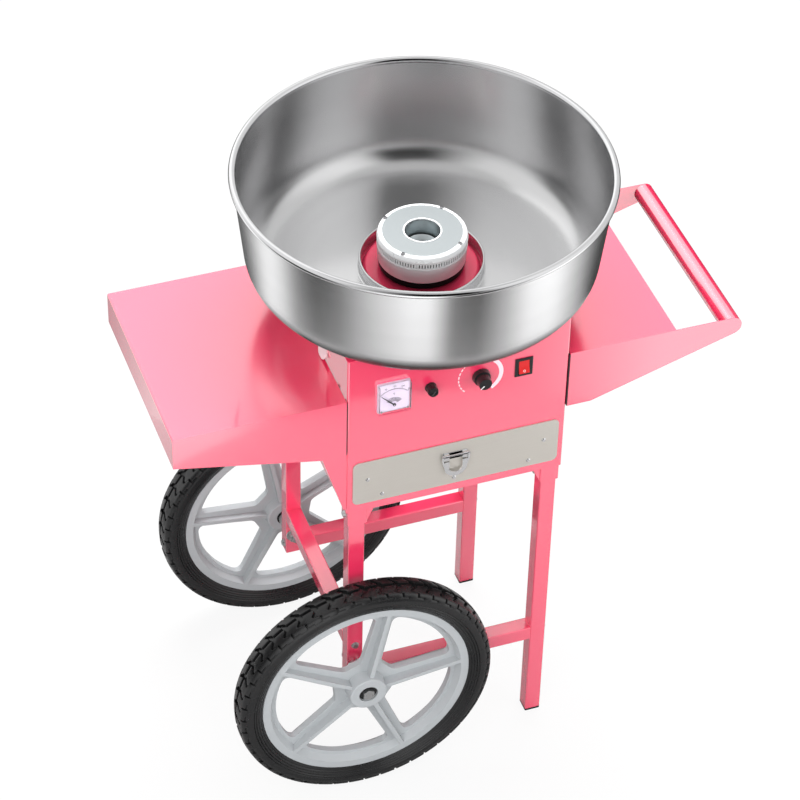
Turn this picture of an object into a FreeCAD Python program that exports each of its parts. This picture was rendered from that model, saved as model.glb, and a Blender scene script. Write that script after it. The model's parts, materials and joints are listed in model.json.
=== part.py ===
import FreeCAD, Part
import math
import os

V = FreeCAD.Vector

# ---------------------------------------------------------------------------
# Driving dimensions, millimetres.  Ground at z = 0, front of the cart towards
# -Y, push handle towards +X.  The bowl, the spinner head and the cabinet share
# one upright axis; every x below is measured from it.
# ---------------------------------------------------------------------------

SHEET = 1.2                  # cabinet and shelf steel sheet
FACE_GAP = 0.3               # between pieces that move past each other
RUNNING = 0.05               # radial clearance of a shaft in its bore

# cabinet
CABINET_WIDTH = 327.0
CABINET_DEPTH = 322.0
CABINET_HEIGHT = 283.0
CABINET_BOTTOM = 513.0       # its floor above the ground
CABINET_CORNER = 3.0
LID_FLANGE = 12.0
LID_FIT = 0.1
BACK_RETURN = 14.0
PAN_SLOT_L = 90.0
PAN_SLOT_W = 6.0
PAN_SLOT_X = 62.0
PAN_SLOT_PITCH = 22.0
PAN_SLOT_ROWS = 5

# legs, sockets and stretchers
TUBE = 24.0                  # square tube, outside
TUBE_WALL = 1.5
TUBE_CORNER = 2.0
LEG_INSET_X = 17.5           # leg centre in from the cabinet side
LEG_INSET_Y = 15.0           # leg centre in from the cabinet front and back
CAP_THICK = 4.0
CAP_PLUG = 14.0
SOCKET_HEIGHT = 26.0
SOCKET_WALL = 2.0
SOCKET_CLEAR = 0.5
GUSSET_REACH = 11.0
GUSSET_TOE = 2.0
STRETCHER_UNDER_AXLE = 37.4  # underside of the front and back stretchers
STRETCHER_OVER_AXLE = 29.6   # underside of the side stretcher
STRETCHER_END = 3.0
STRETCHER_END_INSET = 1.0

# bolts and screws
BOLT_R = 3.0
BOLT_HEAD_R = 6.0
BOLT_HEAD_H = 3.6
BOLT_HOLE_CLEAR = 0.2
BOLT_TAIL = 1.5              # thread past the nut
NUT_R = 5.8
NUT_H = 5.0
BOLT_GRIP = 14.0
SCREW_R = 3.4
SCREW_H = 1.6
SCREW_SHANK_R = 1.6
SCREW_FIT = 0.1
DOME = 0.65                  # top of a domed head, as a share of its radius

# wheels
WHEEL_RADIUS = 196.4
TYRE_HEIGHT = 36.9
TYRE_HALF_WIDTH = 24.0
TYRE_BEAD_HALF = 14.5
TYRE_SHOULDER = 6.5
TREAD_GROOVE_W = 2.6
TREAD_GROOVE_D = 3.5
TREAD_GROOVE_OFFSET = 8.0
RIM_HALF_WIDTH = 16.0
RIM_FLANGE = 2.5
RIM_DEPTH = 23.0
RIM_LIP_DEPTH = 11.5          # full width of the rim ends this far inside the seat
RIM_WEB_HALF = 5.0
BEAD_FIT = 0.2
SPOKES = 5
SPOKE_PHASE_FRONT = 5.0      # degrees from +X, first spoke
SPOKE_PHASE_BACK = 28.0
SPOKE_HUB_W = 30.0
SPOKE_RIM_W = 25.0
SPOKE_RIB_W = 6.5
SPOKE_RIB_STEP = 5.0          # the spine starts this far below the hub face
SPOKE_ROOT = 18.0            # window starts this far outside the hub
WINDOW_CORNER = 11.0
HUB_R = 30.0
HUB_OUT = 24.8               # hub face beyond the wheel middle plane
HUB_IN = 21.0
HUB_RECESS_R = 14.5
HUB_RECESS_DEPTH = 6.0
BUSH_R = 11.0
BUSH_LIP_R = 14.0
BUSH_LIP_H = 2.0
BUSH_APART = 4.0
AXLE_R = 6.0
AXLE_HEAD_H = 6.0
AXLE_NUT_R = 9.5
AXLE_NUT_H = 8.0
AXLE_TAIL = 4.0
WASHER_R = 12.0
WASHER_H = 2.0
SPACER_L = 14.9              # between the leg and the hub

# shelves and push handle
SHELF_DROP = 70.2            # shelf top below the cabinet top
SHELF_OVERHANG = 2.0         # skirts stand proud of the cabinet front and back
SHELF_GAP = 1.3              # between the cabinet side and a shelf
SHELF_LEFT_END = 413.2
SHELF_LEFT_LIP = 52.0        # skirt height at the outer end
SHELF_SKIRT = 98.0           # skirt height at the cabinet
SHELF_FLAT = 36.0            # length of the deep part of the skirt
SHELF_RIGHT_END = 325.0
SHELF_EDGE = 25.0            # turned-down edges of the shelves
SHELF_BEND = 3.0
SHELF_BOLT_Y = 110.0
SHELF_BOLT_DROP = 15.0
HANDLE_X = 412.0
HANDLE_DROP = 15.6           # handle centre below the shelf top
HANDLE_R = 14.5
HANDLE_WALL = 1.5
ARM_END_R = 14.7

# brackets under the left shelf
BRACKET_REACH = 36.0
BRACKET_SHEET = 1.5
BRACKET_FLANGE = 20.0
BRACKET_LAP = 22.0
BRACKET_TOE = 20.0           # flange starts this far above the cabinet bottom
BRACKET_TAIL = 10.0          # web runs on below the flange
BRACKET_TIP = 4.0
BRACKET_BOLT_INSET = 18.0
BRACKET_BOLT_OUT = 12.0      # bolt centre from the web

# drawer
DRAWER_FRONT_MARGIN = 9.0    # cabinet side to the edge of the drawer front
DRAWER_FRONT_H = 78.0
DRAWER_FRONT_RAISE = 15.0    # above the cabinet bottom
DRAWER_FRONT_T = 1.5
DRAWER_FRONT_CORNER = 9.0
DRAWER_BOX_INSET = 10.5      # edge of the front to the side of the box
DRAWER_BOX_RAISE = 7.0
DRAWER_BOX_DROP = 7.0
DRAWER_BACK_ROOM = 37.0
DRAWER_WALL = 1.0
DRAWER_CLEAR = 4.0
RUNNER_T = 1.5
RUNNER_LEDGE = 10.0
RUNNER_H = 30.0
RUNNER_GUIDE_H = 12.0
SCREW_EDGE_INSET = 22.0
SCREW_EDGE_DROP = 34.3
SCREW_LOW_INSET = 44.0
SCREW_LOW_RAISE = 10.8
SCREW_GRIP = 6.0

# ring pull on the drawer
PULL_X = -2.5
PULL_DROP = 20.5             # hinge line below the top of the drawer front
PULL_STAND = 4.0             # hinge line in front of the drawer front
PULL_PIN_R = 1.5
PULL_HALF_W = 21.0           # square shoulders of the ring
PULL_ROUND_R = 17.0
PULL_HOLE_R = 10.0
PULL_LENGTH = 38.5           # hinge line to the bottom of the ring
PULL_T = 2.4
PULL_ARM = 3.0
PULL_NOTCH = 10.0            # room for the ears below the hinge line
PULL_EAR_W = 7.5
PULL_EAR_GAP = 0.5
PULL_EAR_R = 2.9
PULL_EAR_H = 8.5
PULL_PLATE_T = 1.0
PULL_PLATE_MARGIN = 1.5

# control panel
CONTROL_DROP = 76.5          # centre line of the controls below the cabinet top
METER_INSET = 66.5           # meter centre in from the cabinet's left side
METER_W = 47.5
METER_H = 51.0
METER_BASE_T = 3.5
METER_DEPTH = 9.5
METER_WALL = 1.4
METER_COVER_INSET = 0.4
METER_CAN_R = 19.0
METER_CAN_L = 26.0
METER_PIVOT_DROP = 13.0
METER_PIN_R = 0.8
NEEDLE_STAND = 1.7
NEEDLE_EYE_R = 2.4
NEEDLE_LENGTH = 27.0
NEEDLE_W = 1.0
NEEDLE_T = 0.5
NEEDLE_REST = 45.0           # degrees left of upright with the power off
FUSE_X = -42.5
FUSE_BODY_R = 6.0
FUSE_WALL = 1.2
FUSE_BEZEL_H = 2.0
FUSE_BEZEL_LIP = 0.6
FUSE_CAP_R = 7.8
FUSE_CAP_H = 12.5
FUSE_CAP_TAPER = 1.5
FUSE_LENGTH = 34.0
FUSE_STEM_L = 22.0
FUSE_SLOT_W = 1.6
FUSE_FLUTES = 10
KNOB_X = 31.5
KNOB_SKIRT_R = 13.2
KNOB_SKIRT_H = 7.0
KNOB_GRIP_R = 10.4
KNOB_GRIP_H = 12.5
KNOB_TAPER = 1.0
KNOB_FLUTES = 18
KNOB_GAP = 0.6
KNOB_REST = 135.0            # degrees left of upright, the off position
KNOB_MARK_W = 1.6
POT_SHAFT_R = 3.0
POT_BUSH_R = 4.6
POT_BODY_R = 12.0
POT_BODY_L = 14.0
POT_TAG_L = 7.0
HOLE_FIT = 0.2
SWITCH_INSET = 68.3          # switch centre in from the cabinet's right side
SWITCH_W = 26.4
SWITCH_H = 32.0
SWITCH_BEZEL_T = 2.2
SWITCH_BEZEL_BEVEL = 0.8
SWITCH_BODY_W = 22.0
SWITCH_BODY_H = 27.0
SWITCH_BODY_L = 22.0
SWITCH_FIT = 0.3
SWITCH_BLADE_L = 8.0
ROCKER_W = 15.4
ROCKER_H = 22.0
ROCKER_ROOM = 0.4            # between the rocker and the sides of its well
ROCKER_PROUD = 1.2
ROCKER_DEPTH = 10.5
ROCKER_PIVOT = 4.5           # hinge line behind the panel face
ROCKER_PIN_R = 1.2
ROCKER_TILT = 9.0            # degrees the rocker leans at rest

# bowl
BOWL_SHEET = 1.2
BOWL_DEPTH = 168.0           # floor to the middle of the rolled rim
BOWL_RIM_R = 263.0           # centre of the rolled rim
BOWL_BEAD_R = 5.0
BOWL_FOOT_R = 244.3          # wall line carried down to the floor
BOWL_FILLET = 48.0
BOWL_COLLAR_R = 87.5
BOWL_COLLAR_H = 19.0
BOWL_COLLAR_BEAD = 1.8
BOWL_COLLAR_FILLET = 4.0
LUG_W = 16.0
LUG_T = 1.5
LUG_DROP = 20.0
CLIP_W = 30.0
CLIP_Y = -62.0
CLIP_OVER_SHELF = 2.2
CLIP_T = 2.0
CLIP_STAND = 6.5
CLIP_FLARE = 16.0
CLIP_STEP = 6.0
CLIP_CORNER = 12.0
CLIP_TOP_ROOM = 1.5

# raised middle of the lid, inside the bowl's collar
PLATEAU_H = 7.0
PLATEAU_GAP = 2.3            # between its foot and the bowl's collar
PLATEAU_SLOPE = 5.0
PLATEAU_BEND = 4.0
SHAFT_HOLE_ROOM = 6.0

# spinner head
HEAD_LIFT = 3.0              # insulator above the raised middle
HEAD_R = 64.0
HEAD_WALL = 3.0
HEAD_WALL_H = 25.0
HEAD_FLOOR_T = 5.0
HEAD_BAND_H = 11.0
HEAD_BAND_T = 2.0
HEAD_BAND_INSET = 0.8
HEAD_PAN_INSET = 0.5
HEAD_SLOTS = 100
HEAD_SLOT_W = 1.5
HEAD_SLOT_MARGIN = 2.0
HEAD_CAP_H = 9.0
HEAD_CAP_T = 3.5
HEAD_CAP_RIM = 6.0
HEAD_BEVEL = 3.5
HEAD_BOSS_WALL = 9.0
HEAD_BOSS_H = 8.0
SUGAR_HOLE_R = 23.5
SUGAR_LIP_W = 5.0
SUGAR_LIP_H = 2.0
SUGAR_THROAT_L = 30.0         # funnel tube below the top plate
SUGAR_THROAT_T = 2.0
HEAD_SCREW_INSET = 6.5
HEAD_SCREW_PHASE = 62.0
HEAD_POST_R = 4.0
HEAD_SCREW_L = 21.0
INSULATOR_INSET = 2.0
INSULATOR_H = 11.0
HEATER_INSET = 14.0
HEATER_TUBE_R = 2.2
HEATER_STAY_R = 1.5

# spindle drive
SHAFT_R = 7.5
SHAFT_NUT_R = 10.5
SHAFT_NUT_H = 6.0
SHAFT_TAIL = 8.0             # below the slip rings
BEARING_WALL = 8.5
BEARING_H = 9.0
BEARING_SEAT = 0.5
HOUSING_WALL = 5.0
HOUSING_BORE_STEP = 2.0
HOUSING_FLANGE_W = 15.0
HOUSING_FLANGE_T = 4.0
DECK_DROP = 82.0             # underside of the motor deck below the cabinet top
DECK_T = 3.0
DECK_SIDE_ROOM = 24.0
DECK_FRONT_ROOM = 25.0
DECK_BACK_ROOM = 16.0
DECK_SIDE_T = 2.0
DECK_SIDE_FRONT = -6.0
DECK_FOOT_W = 16.0
DECK_SHAFT_ROOM = 3.0
PULLEY_DROP = 14.0           # belt line below the deck
PULLEY_H = 14.0
PULLEY_FLANGE = 3.0
PULLEY_TAPER = 1.2
SPINDLE_PULLEY_R = 17.0
MOTOR_PULLEY_R = 30.0
BELT_T = 3.0
BELT_H = 5.4
MOTOR_Y = 92.0
MOTOR_R = 38.0
MOTOR_WAIST = 3.0
MOTOR_CAP_H = 12.0
MOTOR_CAP_BEND = 5.0
MOTOR_SHAFT_R = 5.0
MOTOR_TOP_GAP = 4.0
MOTOR_SHAFT_ROOM = 8.0
RING_WALL = 3.0
RING_SLEEVE = 4.5
RING_H = 8.0
RING_SPACE = 16.0
RING_MARGIN = 4.0
RING_UNDER_PULLEY = 17.0
BRUSH_GAP = 5.0
BRUSH_BLOCK = 18.0
BRUSH_ARM = 4.0
BRUSH_FOOT = 12.0
BRUSH_W = 6.0

# back panel
BACK_PANEL_MARGIN = 5.0
BACK_PANEL_CORNER = 4.0
LOUVRE_X = 55.0
LOUVRE_W = 62.0
LOUVRE_H = 5.0
LOUVRE_PITCH = 16.0
LOUVRE_ROWS = 6
LOUVRE_DROP = 56.0           # top row below the cabinet top
LOUVRE_OUT = 4.0
LOUVRE_SKIN = 1.0
GLAND_R = 9.0
GLAND_BORE = 3.5
GLAND_WALL = 2.2
GLAND_FLANGE = 2.0
GLAND_FLANGE_T = 3.0
GLAND_NOSE = 11.0
GLAND_NUT_H = 4.0
GLAND_TAIL = 9.0
GLAND_RAISE = 32.0           # above the cabinet bottom
GLAND_INSET = 53.5           # in from the cabinet side

# ---------------------------------------------------------------------------
# Worked out from the values above
# ---------------------------------------------------------------------------

CAB_X = CABINET_WIDTH / 2
CAB_Y = CABINET_DEPTH / 2
CABINET_TOP = CABINET_BOTTOM + CABINET_HEIGHT
LID_UNDER = CABINET_TOP - SHEET
PANEL_Y = -CAB_Y                              # outer face of the front panel
TUBE_HALF = TUBE / 2
TUBE_BORE_HALF = TUBE_HALF - TUBE_WALL
SOCKET_HALF = TUBE_HALF + SOCKET_CLEAR + SOCKET_WALL
SOCKET_LOW = CABINET_BOTTOM - SOCKET_HEIGHT
SOCKET_BOLT_Z = CABINET_BOTTOM - SOCKET_HEIGHT / 2
LEG_X = CAB_X - LEG_INSET_X
LEG_Y = CAB_Y - LEG_INSET_Y

WHEEL_X = -LEG_X
WHEEL_Z = WHEEL_RADIUS
RIM_RADIUS = WHEEL_RADIUS - TYRE_HEIGHT
RIM_INNER = RIM_RADIUS - RIM_DEPTH
RECESS_FACE = HUB_OUT - HUB_RECESS_DEPTH
WHEEL_TRACK = LEG_Y + TUBE_HALF + SPACER_L + FACE_GAP + BUSH_LIP_H + HUB_IN
STRETCHER_LOW = WHEEL_Z - STRETCHER_UNDER_AXLE
STRETCHER_SIDE_LOW = WHEEL_Z + STRETCHER_OVER_AXLE

SHELF_TOP = CABINET_TOP - SHELF_DROP
SHELF_HALF_DEPTH = CAB_Y + SHELF_OVERHANG
SHELF_NEAR = CAB_X + SHELF_GAP
SHELF_LOW = SHELF_TOP - SHELF_SKIRT
SHELF_BOLT_Z = SHELF_TOP - SHELF_BOLT_DROP
HANDLE_Z = SHELF_TOP - HANDLE_DROP
AXIS_X = (SHELF_LEFT_END - HANDLE_X - ARM_END_R) / 2   # origin midway along the cart

BRACKET_Y = -SHELF_HALF_DEPTH + SHEET         # inner face of the front skirt
BRACKET_TOP = SHELF_LOW + BRACKET_LAP
BRACKET_LOW = CABINET_BOTTOM + BRACKET_TOE
BRACKET_BOLT_Y = BRACKET_Y + BRACKET_BOLT_OUT

DRAWER_FRONT_HALF = CAB_X - DRAWER_FRONT_MARGIN
DRAWER_FRONT_LOW = CABINET_BOTTOM + DRAWER_FRONT_RAISE
DRAWER_FRONT_TOP = DRAWER_FRONT_LOW + DRAWER_FRONT_H
DRAWER_BOX_HALF = DRAWER_FRONT_HALF - DRAWER_BOX_INSET
DRAWER_BOX_LOW = DRAWER_FRONT_LOW + DRAWER_BOX_RAISE
DRAWER_BOX_TOP = DRAWER_FRONT_TOP - DRAWER_BOX_DROP
BRACKET_BOLT_Z = (DRAWER_BOX_LOW + RUNNER_H + BRACKET_BOLT_INSET,
                  BRACKET_TOP - BRACKET_BOLT_INSET)
DRAWER_BACK = PANEL_Y - FACE_GAP              # plane between the front and the box
DRAWER_FACE = DRAWER_BACK - DRAWER_FRONT_T    # outer face of the drawer front
DRAWER_END = CAB_Y - DRAWER_BACK_ROOM
PULL_Y = DRAWER_FACE - PULL_STAND
PULL_Z = DRAWER_FRONT_TOP - PULL_DROP
EAR_OUT = PULL_HALF_W - PULL_ARM - PULL_EAR_GAP
EAR_IN = EAR_OUT - PULL_EAR_W

CONTROL_Z = CABINET_TOP - CONTROL_DROP
METER_X = METER_INSET - CAB_X
SWITCH_X = CAB_X - SWITCH_INSET
METER_PIVOT_Z = CONTROL_Z - METER_PIVOT_DROP
METER_FACE = PANEL_Y - METER_BASE_T
ROCKER_Y = PANEL_Y + ROCKER_PIVOT

BOWL_FLOOR = CABINET_TOP
BOWL_RIM_Z = BOWL_FLOOR + BOWL_DEPTH
BOWL_COLLAR_TOP = BOWL_FLOOR + BOWL_COLLAR_H
PLATEAU_TOP = CABINET_TOP + PLATEAU_H
PLATEAU_UNDER = PLATEAU_TOP - SHEET
PLATEAU_FOOT_R = BOWL_COLLAR_R - BOWL_SHEET - PLATEAU_GAP
PLATEAU_R = PLATEAU_FOOT_R - PLATEAU_SLOPE

INSULATOR_LOW = PLATEAU_TOP + HEAD_LIFT
INSULATOR_R = HEAD_R - INSULATOR_INSET
HEAD_FLOOR_Z = INSULATOR_LOW + INSULATOR_H
HEAD_PAN_TOP = HEAD_FLOOR_Z + HEAD_FLOOR_T
HEAD_BAND_LOW = HEAD_FLOOR_Z + HEAD_WALL_H
HEAD_BAND_TOP = HEAD_BAND_LOW + HEAD_BAND_H
HEAD_TOP = HEAD_BAND_TOP + HEAD_CAP_H
HEAD_SCREW_RING = HEAD_R - HEAD_SCREW_INSET
HEATER_R = HEAD_R - HEATER_INSET
SHAFT_TOP = HEAD_PAN_TOP + HEAD_BOSS_H

DECK_Z = CABINET_TOP - DECK_DROP
DECK_TOP = DECK_Z + DECK_T
DECK_HALF_X = MOTOR_R + DECK_SIDE_ROOM
BEARING_R = SHAFT_R + BEARING_WALL
HOUSING_R = BEARING_R + HOUSING_WALL
HOUSING_FLANGE_R = HOUSING_R + HOUSING_FLANGE_W
DECK_FRONT = -HOUSING_R - DECK_FRONT_ROOM
DECK_BACK = MOTOR_Y + MOTOR_R + DECK_BACK_ROOM
MOTOR_TOP = LID_UNDER - MOTOR_TOP_GAP
PULLEY_Z = DECK_Z - PULLEY_DROP
SLEEVE_R = SHAFT_R + RING_SLEEVE
RING_R = SLEEVE_R + RING_WALL
SLEEVE_TOP = PULLEY_Z - PULLEY_H / 2 - RING_UNDER_PULLEY
RING_LOW = SLEEVE_TOP - RING_MARGIN - RING_H - RING_SPACE
SLEEVE_LOW = RING_LOW - RING_MARGIN
SHAFT_LOW = SLEEVE_LOW - SHAFT_TAIL

GLAND_Z = CABINET_BOTTOM + GLAND_RAISE
GLAND_X = CAB_X - GLAND_INSET


# ---------------------------------------------------------------------------
# Small helpers
# ---------------------------------------------------------------------------

def box(x0, x1, y0, y1, z0, z1):
    return Part.makeBox(x1 - x0, y1 - y0, z1 - z0, V(x0, y0, z0))


def rod(r, start, end):
    """A round bar from point start to point end."""
    way = end - start
    return Part.makeCylinder(r, way.Length, start, way)


def tube(r_out, r_in, start, end):
    """A round tube; the hole runs right through."""
    return rod(r_out, start, end).cut(rod(r_in, start, end))


def at_z(z):
    return lambda a, b: V(a, b, z)


def at_y(y):
    return lambda a, b: V(a, y, b)


def at_x(x):
    return lambda a, b: V(x, a, b)


def rounded_face(points, place):
    """A flat face from corners (a, b) or (a, b, fillet radius)."""
    corners = []
    count = len(points)
    for i, point in enumerate(points):
        here = V(point[0], point[1], 0)
        radius = point[2] if len(point) > 2 else 0
        if radius <= 0:
            corners.append((here, None, here))
            continue
        before = V(points[i - 1][0], points[i - 1][1], 0) - here
        after = V(points[(i + 1) % count][0], points[(i + 1) % count][1], 0) - here
        before.normalize()
        after.normalize()
        half = math.acos(max(-1.0, min(1.0, before.dot(after)))) / 2
        run = radius / math.tan(half)
        bisector = before + after
        bisector.normalize()
        middle = here + bisector * (radius / math.sin(half) - radius)
        corners.append((here + before * run, middle, here + after * run))
    edges = []
    for i, (start, middle, end) in enumerate(corners):
        if middle is not None:
            edges.append(Part.Arc(place(start.x, start.y), place(middle.x, middle.y),
                                  place(end.x, end.y)).toShape())
        following = corners[(i + 1) % count][0]
        if (following - end).Length > 1e-6:
            edges.append(Part.LineSegment(place(end.x, end.y),
                                          place(following.x, following.y)).toShape())
    return Part.Face(Part.Wire(edges))


def path_face(steps, place):
    """A flat face from steps: (a, b) is a line to that point, (a, b, c, d) an arc
    through (a, b) to (c, d).  The last step closes on the first point."""
    start = place(*steps[0])
    here = start
    edges = []
    for step in steps[1:]:
        if len(step) == 4:
            end = place(step[2], step[3])
            edges.append(Part.Arc(here, place(step[0], step[1]), end).toShape())
        else:
            end = place(*step)
            edges.append(Part.LineSegment(here, end).toShape())
        here = end
    if (here - start).Length > 1e-6:
        edges.append(Part.LineSegment(here, start).toShape())
    return Part.Face(Part.Wire(edges))


def rectangle(a0, a1, b0, b1, radius=0):
    return [(a0, b0, radius), (a1, b0, radius), (a1, b1, radius), (a0, b1, radius)]


def turned(points, x=0.0, y=0.0):
    """Turns a profile of (radius, height) about the upright line through x, y."""
    face = rounded_face(points, lambda r, h: V(x + r, y, h))
    return face.revolve(V(x, y, 0), V(0, 0, 1), 360)


def union(shapes):
    return shapes[0].fuse(shapes[1:]).removeSplitter()


def group(shapes):
    return Part.makeCompound(shapes)


def around(shape, count, centre, axis, phase=0.0):
    copies = []
    for i in range(count):
        copy = shape.copy()
        copy.rotate(centre, axis, phase + 360.0 * i / count)
        copies.append(copy)
    return copies


def mirrored_y(shape):
    return shape.mirror(V(0, 0, 0), V(0, 1, 0))


def mirrored_x(shape):
    return shape.mirror(V(0, 0, 0), V(1, 0, 0))


def hexagon(radius, start, way):
    """A six-sided bar from start along way; radius is to the corners."""
    unit = V(way).normalize()
    side = V(0, 0, 1) if abs(unit.z) < 0.5 else V(1, 0, 0)
    other = unit.cross(side)
    ring = []
    for i in range(7):
        turn = math.radians(60 * i)
        ring.append(start + side * (radius * math.cos(turn)) + other * (radius * math.sin(turn)))
    return Part.Face(Part.makePolygon(ring)).extrude(way)


def tangent_point(point, centre, radius):
    """Where the line from point touches the underside of a circle, in the (a, b) plane."""
    away = V(point[0] - centre[0], point[1] - centre[1], 0)
    spread = math.acos(radius / away.Length)
    turn = math.atan2(away.y, away.x) + spread
    return centre[0] + radius * math.cos(turn), centre[1] + radius * math.sin(turn)


def save(node, shape):
    placed = shape.copy()
    placed.translate(V(AXIS_X, 0, 0))
    placed.exportStep("parts/" + node + ".step")


# ---------------------------------------------------------------------------
# Bolts, nuts and screws
# ---------------------------------------------------------------------------

def bolt(seat, way, grip):
    """A domed bolt: head outside the seat, shank along the unit vector way."""
    head = Part.makeCone(BOLT_HEAD_R, BOLT_HEAD_R * DOME, BOLT_HEAD_H, seat, way * -1)
    return head.fuse(rod(BOLT_R, seat, seat + way * grip))


def nut(seat, way):
    """A nut whose near face is at seat, on a bolt along the unit vector way."""
    return hexagon(NUT_R, seat, way * NUT_H).cut(rod(BOLT_R, seat, seat + way * NUT_H))


def bolt_hole(point, way):
    """A clearance cutter that starts at point and runs along the vector way."""
    return rod(BOLT_R + BOLT_HOLE_CLEAR, point, point + way)


def screw(seat, way, grip):
    """A small domed screw: head outside the seat, shank along the unit vector way."""
    head = Part.makeCone(SCREW_R, SCREW_R * DOME, SCREW_H, seat, way * -1)
    return head.fuse(rod(SCREW_SHANK_R, seat, seat + way * grip))


def stretcher_bolts():
    """One bolt through each leg into the closed end of a stretcher."""
    pieces = []
    for sy in (-1, 1):
        for sx in (-1, 1):
            seat = V(sx * (LEG_X + TUBE_HALF), sy * LEG_Y, STRETCHER_LOW + TUBE_HALF)
            pieces.append(bolt(seat, V(-sx, 0, 0), TUBE + BOLT_GRIP))
        seat = V(-LEG_X, sy * (LEG_Y + TUBE_HALF), STRETCHER_SIDE_LOW + TUBE_HALF)
        pieces.append(bolt(seat, V(0, -sy, 0), TUBE + BOLT_GRIP))
    return pieces


def socket_bolts():
    """One bolt and nut through each socket and the leg inside it."""
    pieces = []
    width = 2 * SOCKET_HALF
    for sx in (-1, 1):
        for sy in (-1, 1):
            way = V(-sx, 0, 0)
            seat = V(sx * (LEG_X + SOCKET_HALF), sy * LEG_Y, SOCKET_BOLT_Z)
            pieces.append(bolt(seat, way, width + NUT_H + BOLT_TAIL))
            pieces.append(nut(seat + way * width, way))
    return pieces


def bracket_bolts():
    """Bolts through the bracket flanges into the cabinet side."""
    pieces = []
    way = V(1, 0, 0)
    for z in BRACKET_BOLT_Z:
        seat = V(-CAB_X - BRACKET_SHEET, BRACKET_BOLT_Y, z)
        grip = BRACKET_SHEET + SHEET
        pair = [bolt(seat, way, grip + NUT_H + BOLT_TAIL), nut(seat + way * grip, way)]
        pieces += pair + [mirrored_y(piece) for piece in pair]
    return pieces


def shelf_bolts():
    """Bolts through each shelf's inner edge, a washer and the cabinet side."""
    pieces = []
    way = V(-1, 0, 0)
    for y in (-SHELF_BOLT_Y, SHELF_BOLT_Y):
        seat = V(SHELF_NEAR + SHEET, y, SHELF_BOLT_Z)
        inside = V(CAB_X - SHEET, y, SHELF_BOLT_Z)
        washer = tube(BOLT_HEAD_R, BOLT_R, V(CAB_X, y, SHELF_BOLT_Z), V(SHELF_NEAR, y, SHELF_BOLT_Z))
        grip = 2 * SHEET + SHELF_GAP
        right = [bolt(seat, way, grip + NUT_H + BOLT_TAIL), nut(inside, way), washer]
        pieces += right + [mirrored_x(piece) for piece in right]
    return pieces


def frame_bolts():
    return group(stretcher_bolts() + socket_bolts() + bracket_bolts() + shelf_bolts())


# ---------------------------------------------------------------------------
# Legs, sockets and stretchers
# ---------------------------------------------------------------------------

def square_tube(a, b, half, wall, place, way):
    """A square tube with rounded outer corners, centred on (a, b)."""
    bore = half - wall
    outer = rounded_face(rectangle(a - half, a + half, b - half, b + half, TUBE_CORNER), place)
    inner = rounded_face(rectangle(a - bore, a + bore, b - bore, b + bore), place)
    return outer.extrude(way).cut(inner.extrude(way))


def leg(x, y, low):
    shape = square_tube(x, y, TUBE_HALF, TUBE_WALL, at_z(low), V(0, 0, CABINET_BOTTOM - low))
    across = V(2 * TUBE, 0, 0)
    along = V(0, 2 * TUBE, 0)
    holes = [bolt_hole(V(x - TUBE, y, SOCKET_BOLT_Z), across),
             bolt_hole(V(x - TUBE, y, STRETCHER_LOW + TUBE_HALF), across)]
    if x < 0:
        holes.append(bolt_hole(V(x, y - TUBE, STRETCHER_SIDE_LOW + TUBE_HALF), along))
        holes.append(rod(AXLE_R + BOLT_HOLE_CLEAR, V(x, y - TUBE, WHEEL_Z), V(x, y + TUBE, WHEEL_Z)))
    return shape.cut(holes)


def leg_socket(x, y):
    """A short square tube with a small gusset towards the middle of the cabinet."""
    shape = square_tube(x, y, SOCKET_HALF, SOCKET_WALL, at_z(SOCKET_LOW), V(0, 0, SOCKET_HEIGHT))
    inward = -1 if x > 0 else 1
    face = x + inward * SOCKET_HALF
    root = face - inward * SOCKET_WALL
    outline = [(root, CABINET_BOTTOM), (face + inward * GUSSET_REACH, CABINET_BOTTOM),
               (face, SOCKET_LOW + GUSSET_TOE), (root, SOCKET_LOW + GUSSET_TOE)]
    near = y - SOCKET_HALF + TUBE_CORNER if y < 0 else y + SOCKET_HALF - TUBE_CORNER - SOCKET_WALL
    gusset = rounded_face(outline, at_y(near)).extrude(V(0, SOCKET_WALL, 0))
    bore = TUBE_HALF + SOCKET_CLEAR
    room = box(x - bore, x + bore, y - bore, y + bore, SOCKET_LOW, CABINET_BOTTOM)
    hole = bolt_hole(V(x - TUBE, y, SOCKET_BOLT_Z), V(2 * TUBE, 0, 0))
    return shape.fuse(gusset.cut(room)).cut(hole).removeSplitter()


def end_cap(x, y):
    """A square plug with a flange under the tube end."""
    flange = rounded_face(rectangle(x - TUBE_HALF, x + TUBE_HALF, y - TUBE_HALF, y + TUBE_HALF,
                                    TUBE_CORNER), at_z(0)).extrude(V(0, 0, CAP_THICK))
    bore = TUBE_BORE_HALF
    plug = box(x - bore, x + bore, y - bore, y + bore, CAP_THICK, CAP_THICK + CAP_PLUG)
    return flange.fuse(plug)


def stretcher(a, low, place, length, way):
    """A square tube between two legs, closed by an end plate where a bolt goes in."""
    b = low + TUBE_HALF
    shape = square_tube(a, b, TUBE_HALF, TUBE_WALL, place(-length / 2), way * length)
    half = TUBE_HALF - STRETCHER_END_INSET
    for start in (-length / 2, length / 2 - STRETCHER_END):
        plate = rounded_face(rectangle(a - half, a + half, b - half, b + half), place(start))
        shape = shape.fuse(plate.extrude(way * STRETCHER_END))
    start = place(-length / 2 - BOLT_R)(a, b)
    return shape.cut(rod(BOLT_R, start, start + way * (length + 2 * BOLT_R)))


def stretcher_along_x(y):
    return stretcher(y, STRETCHER_LOW, at_x, 2 * (LEG_X - TUBE_HALF), V(1, 0, 0))


def stretcher_along_y(x):
    return stretcher(x, STRETCHER_SIDE_LOW, at_y, 2 * (LEG_Y - TUBE_HALF), V(0, 1, 0))


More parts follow.
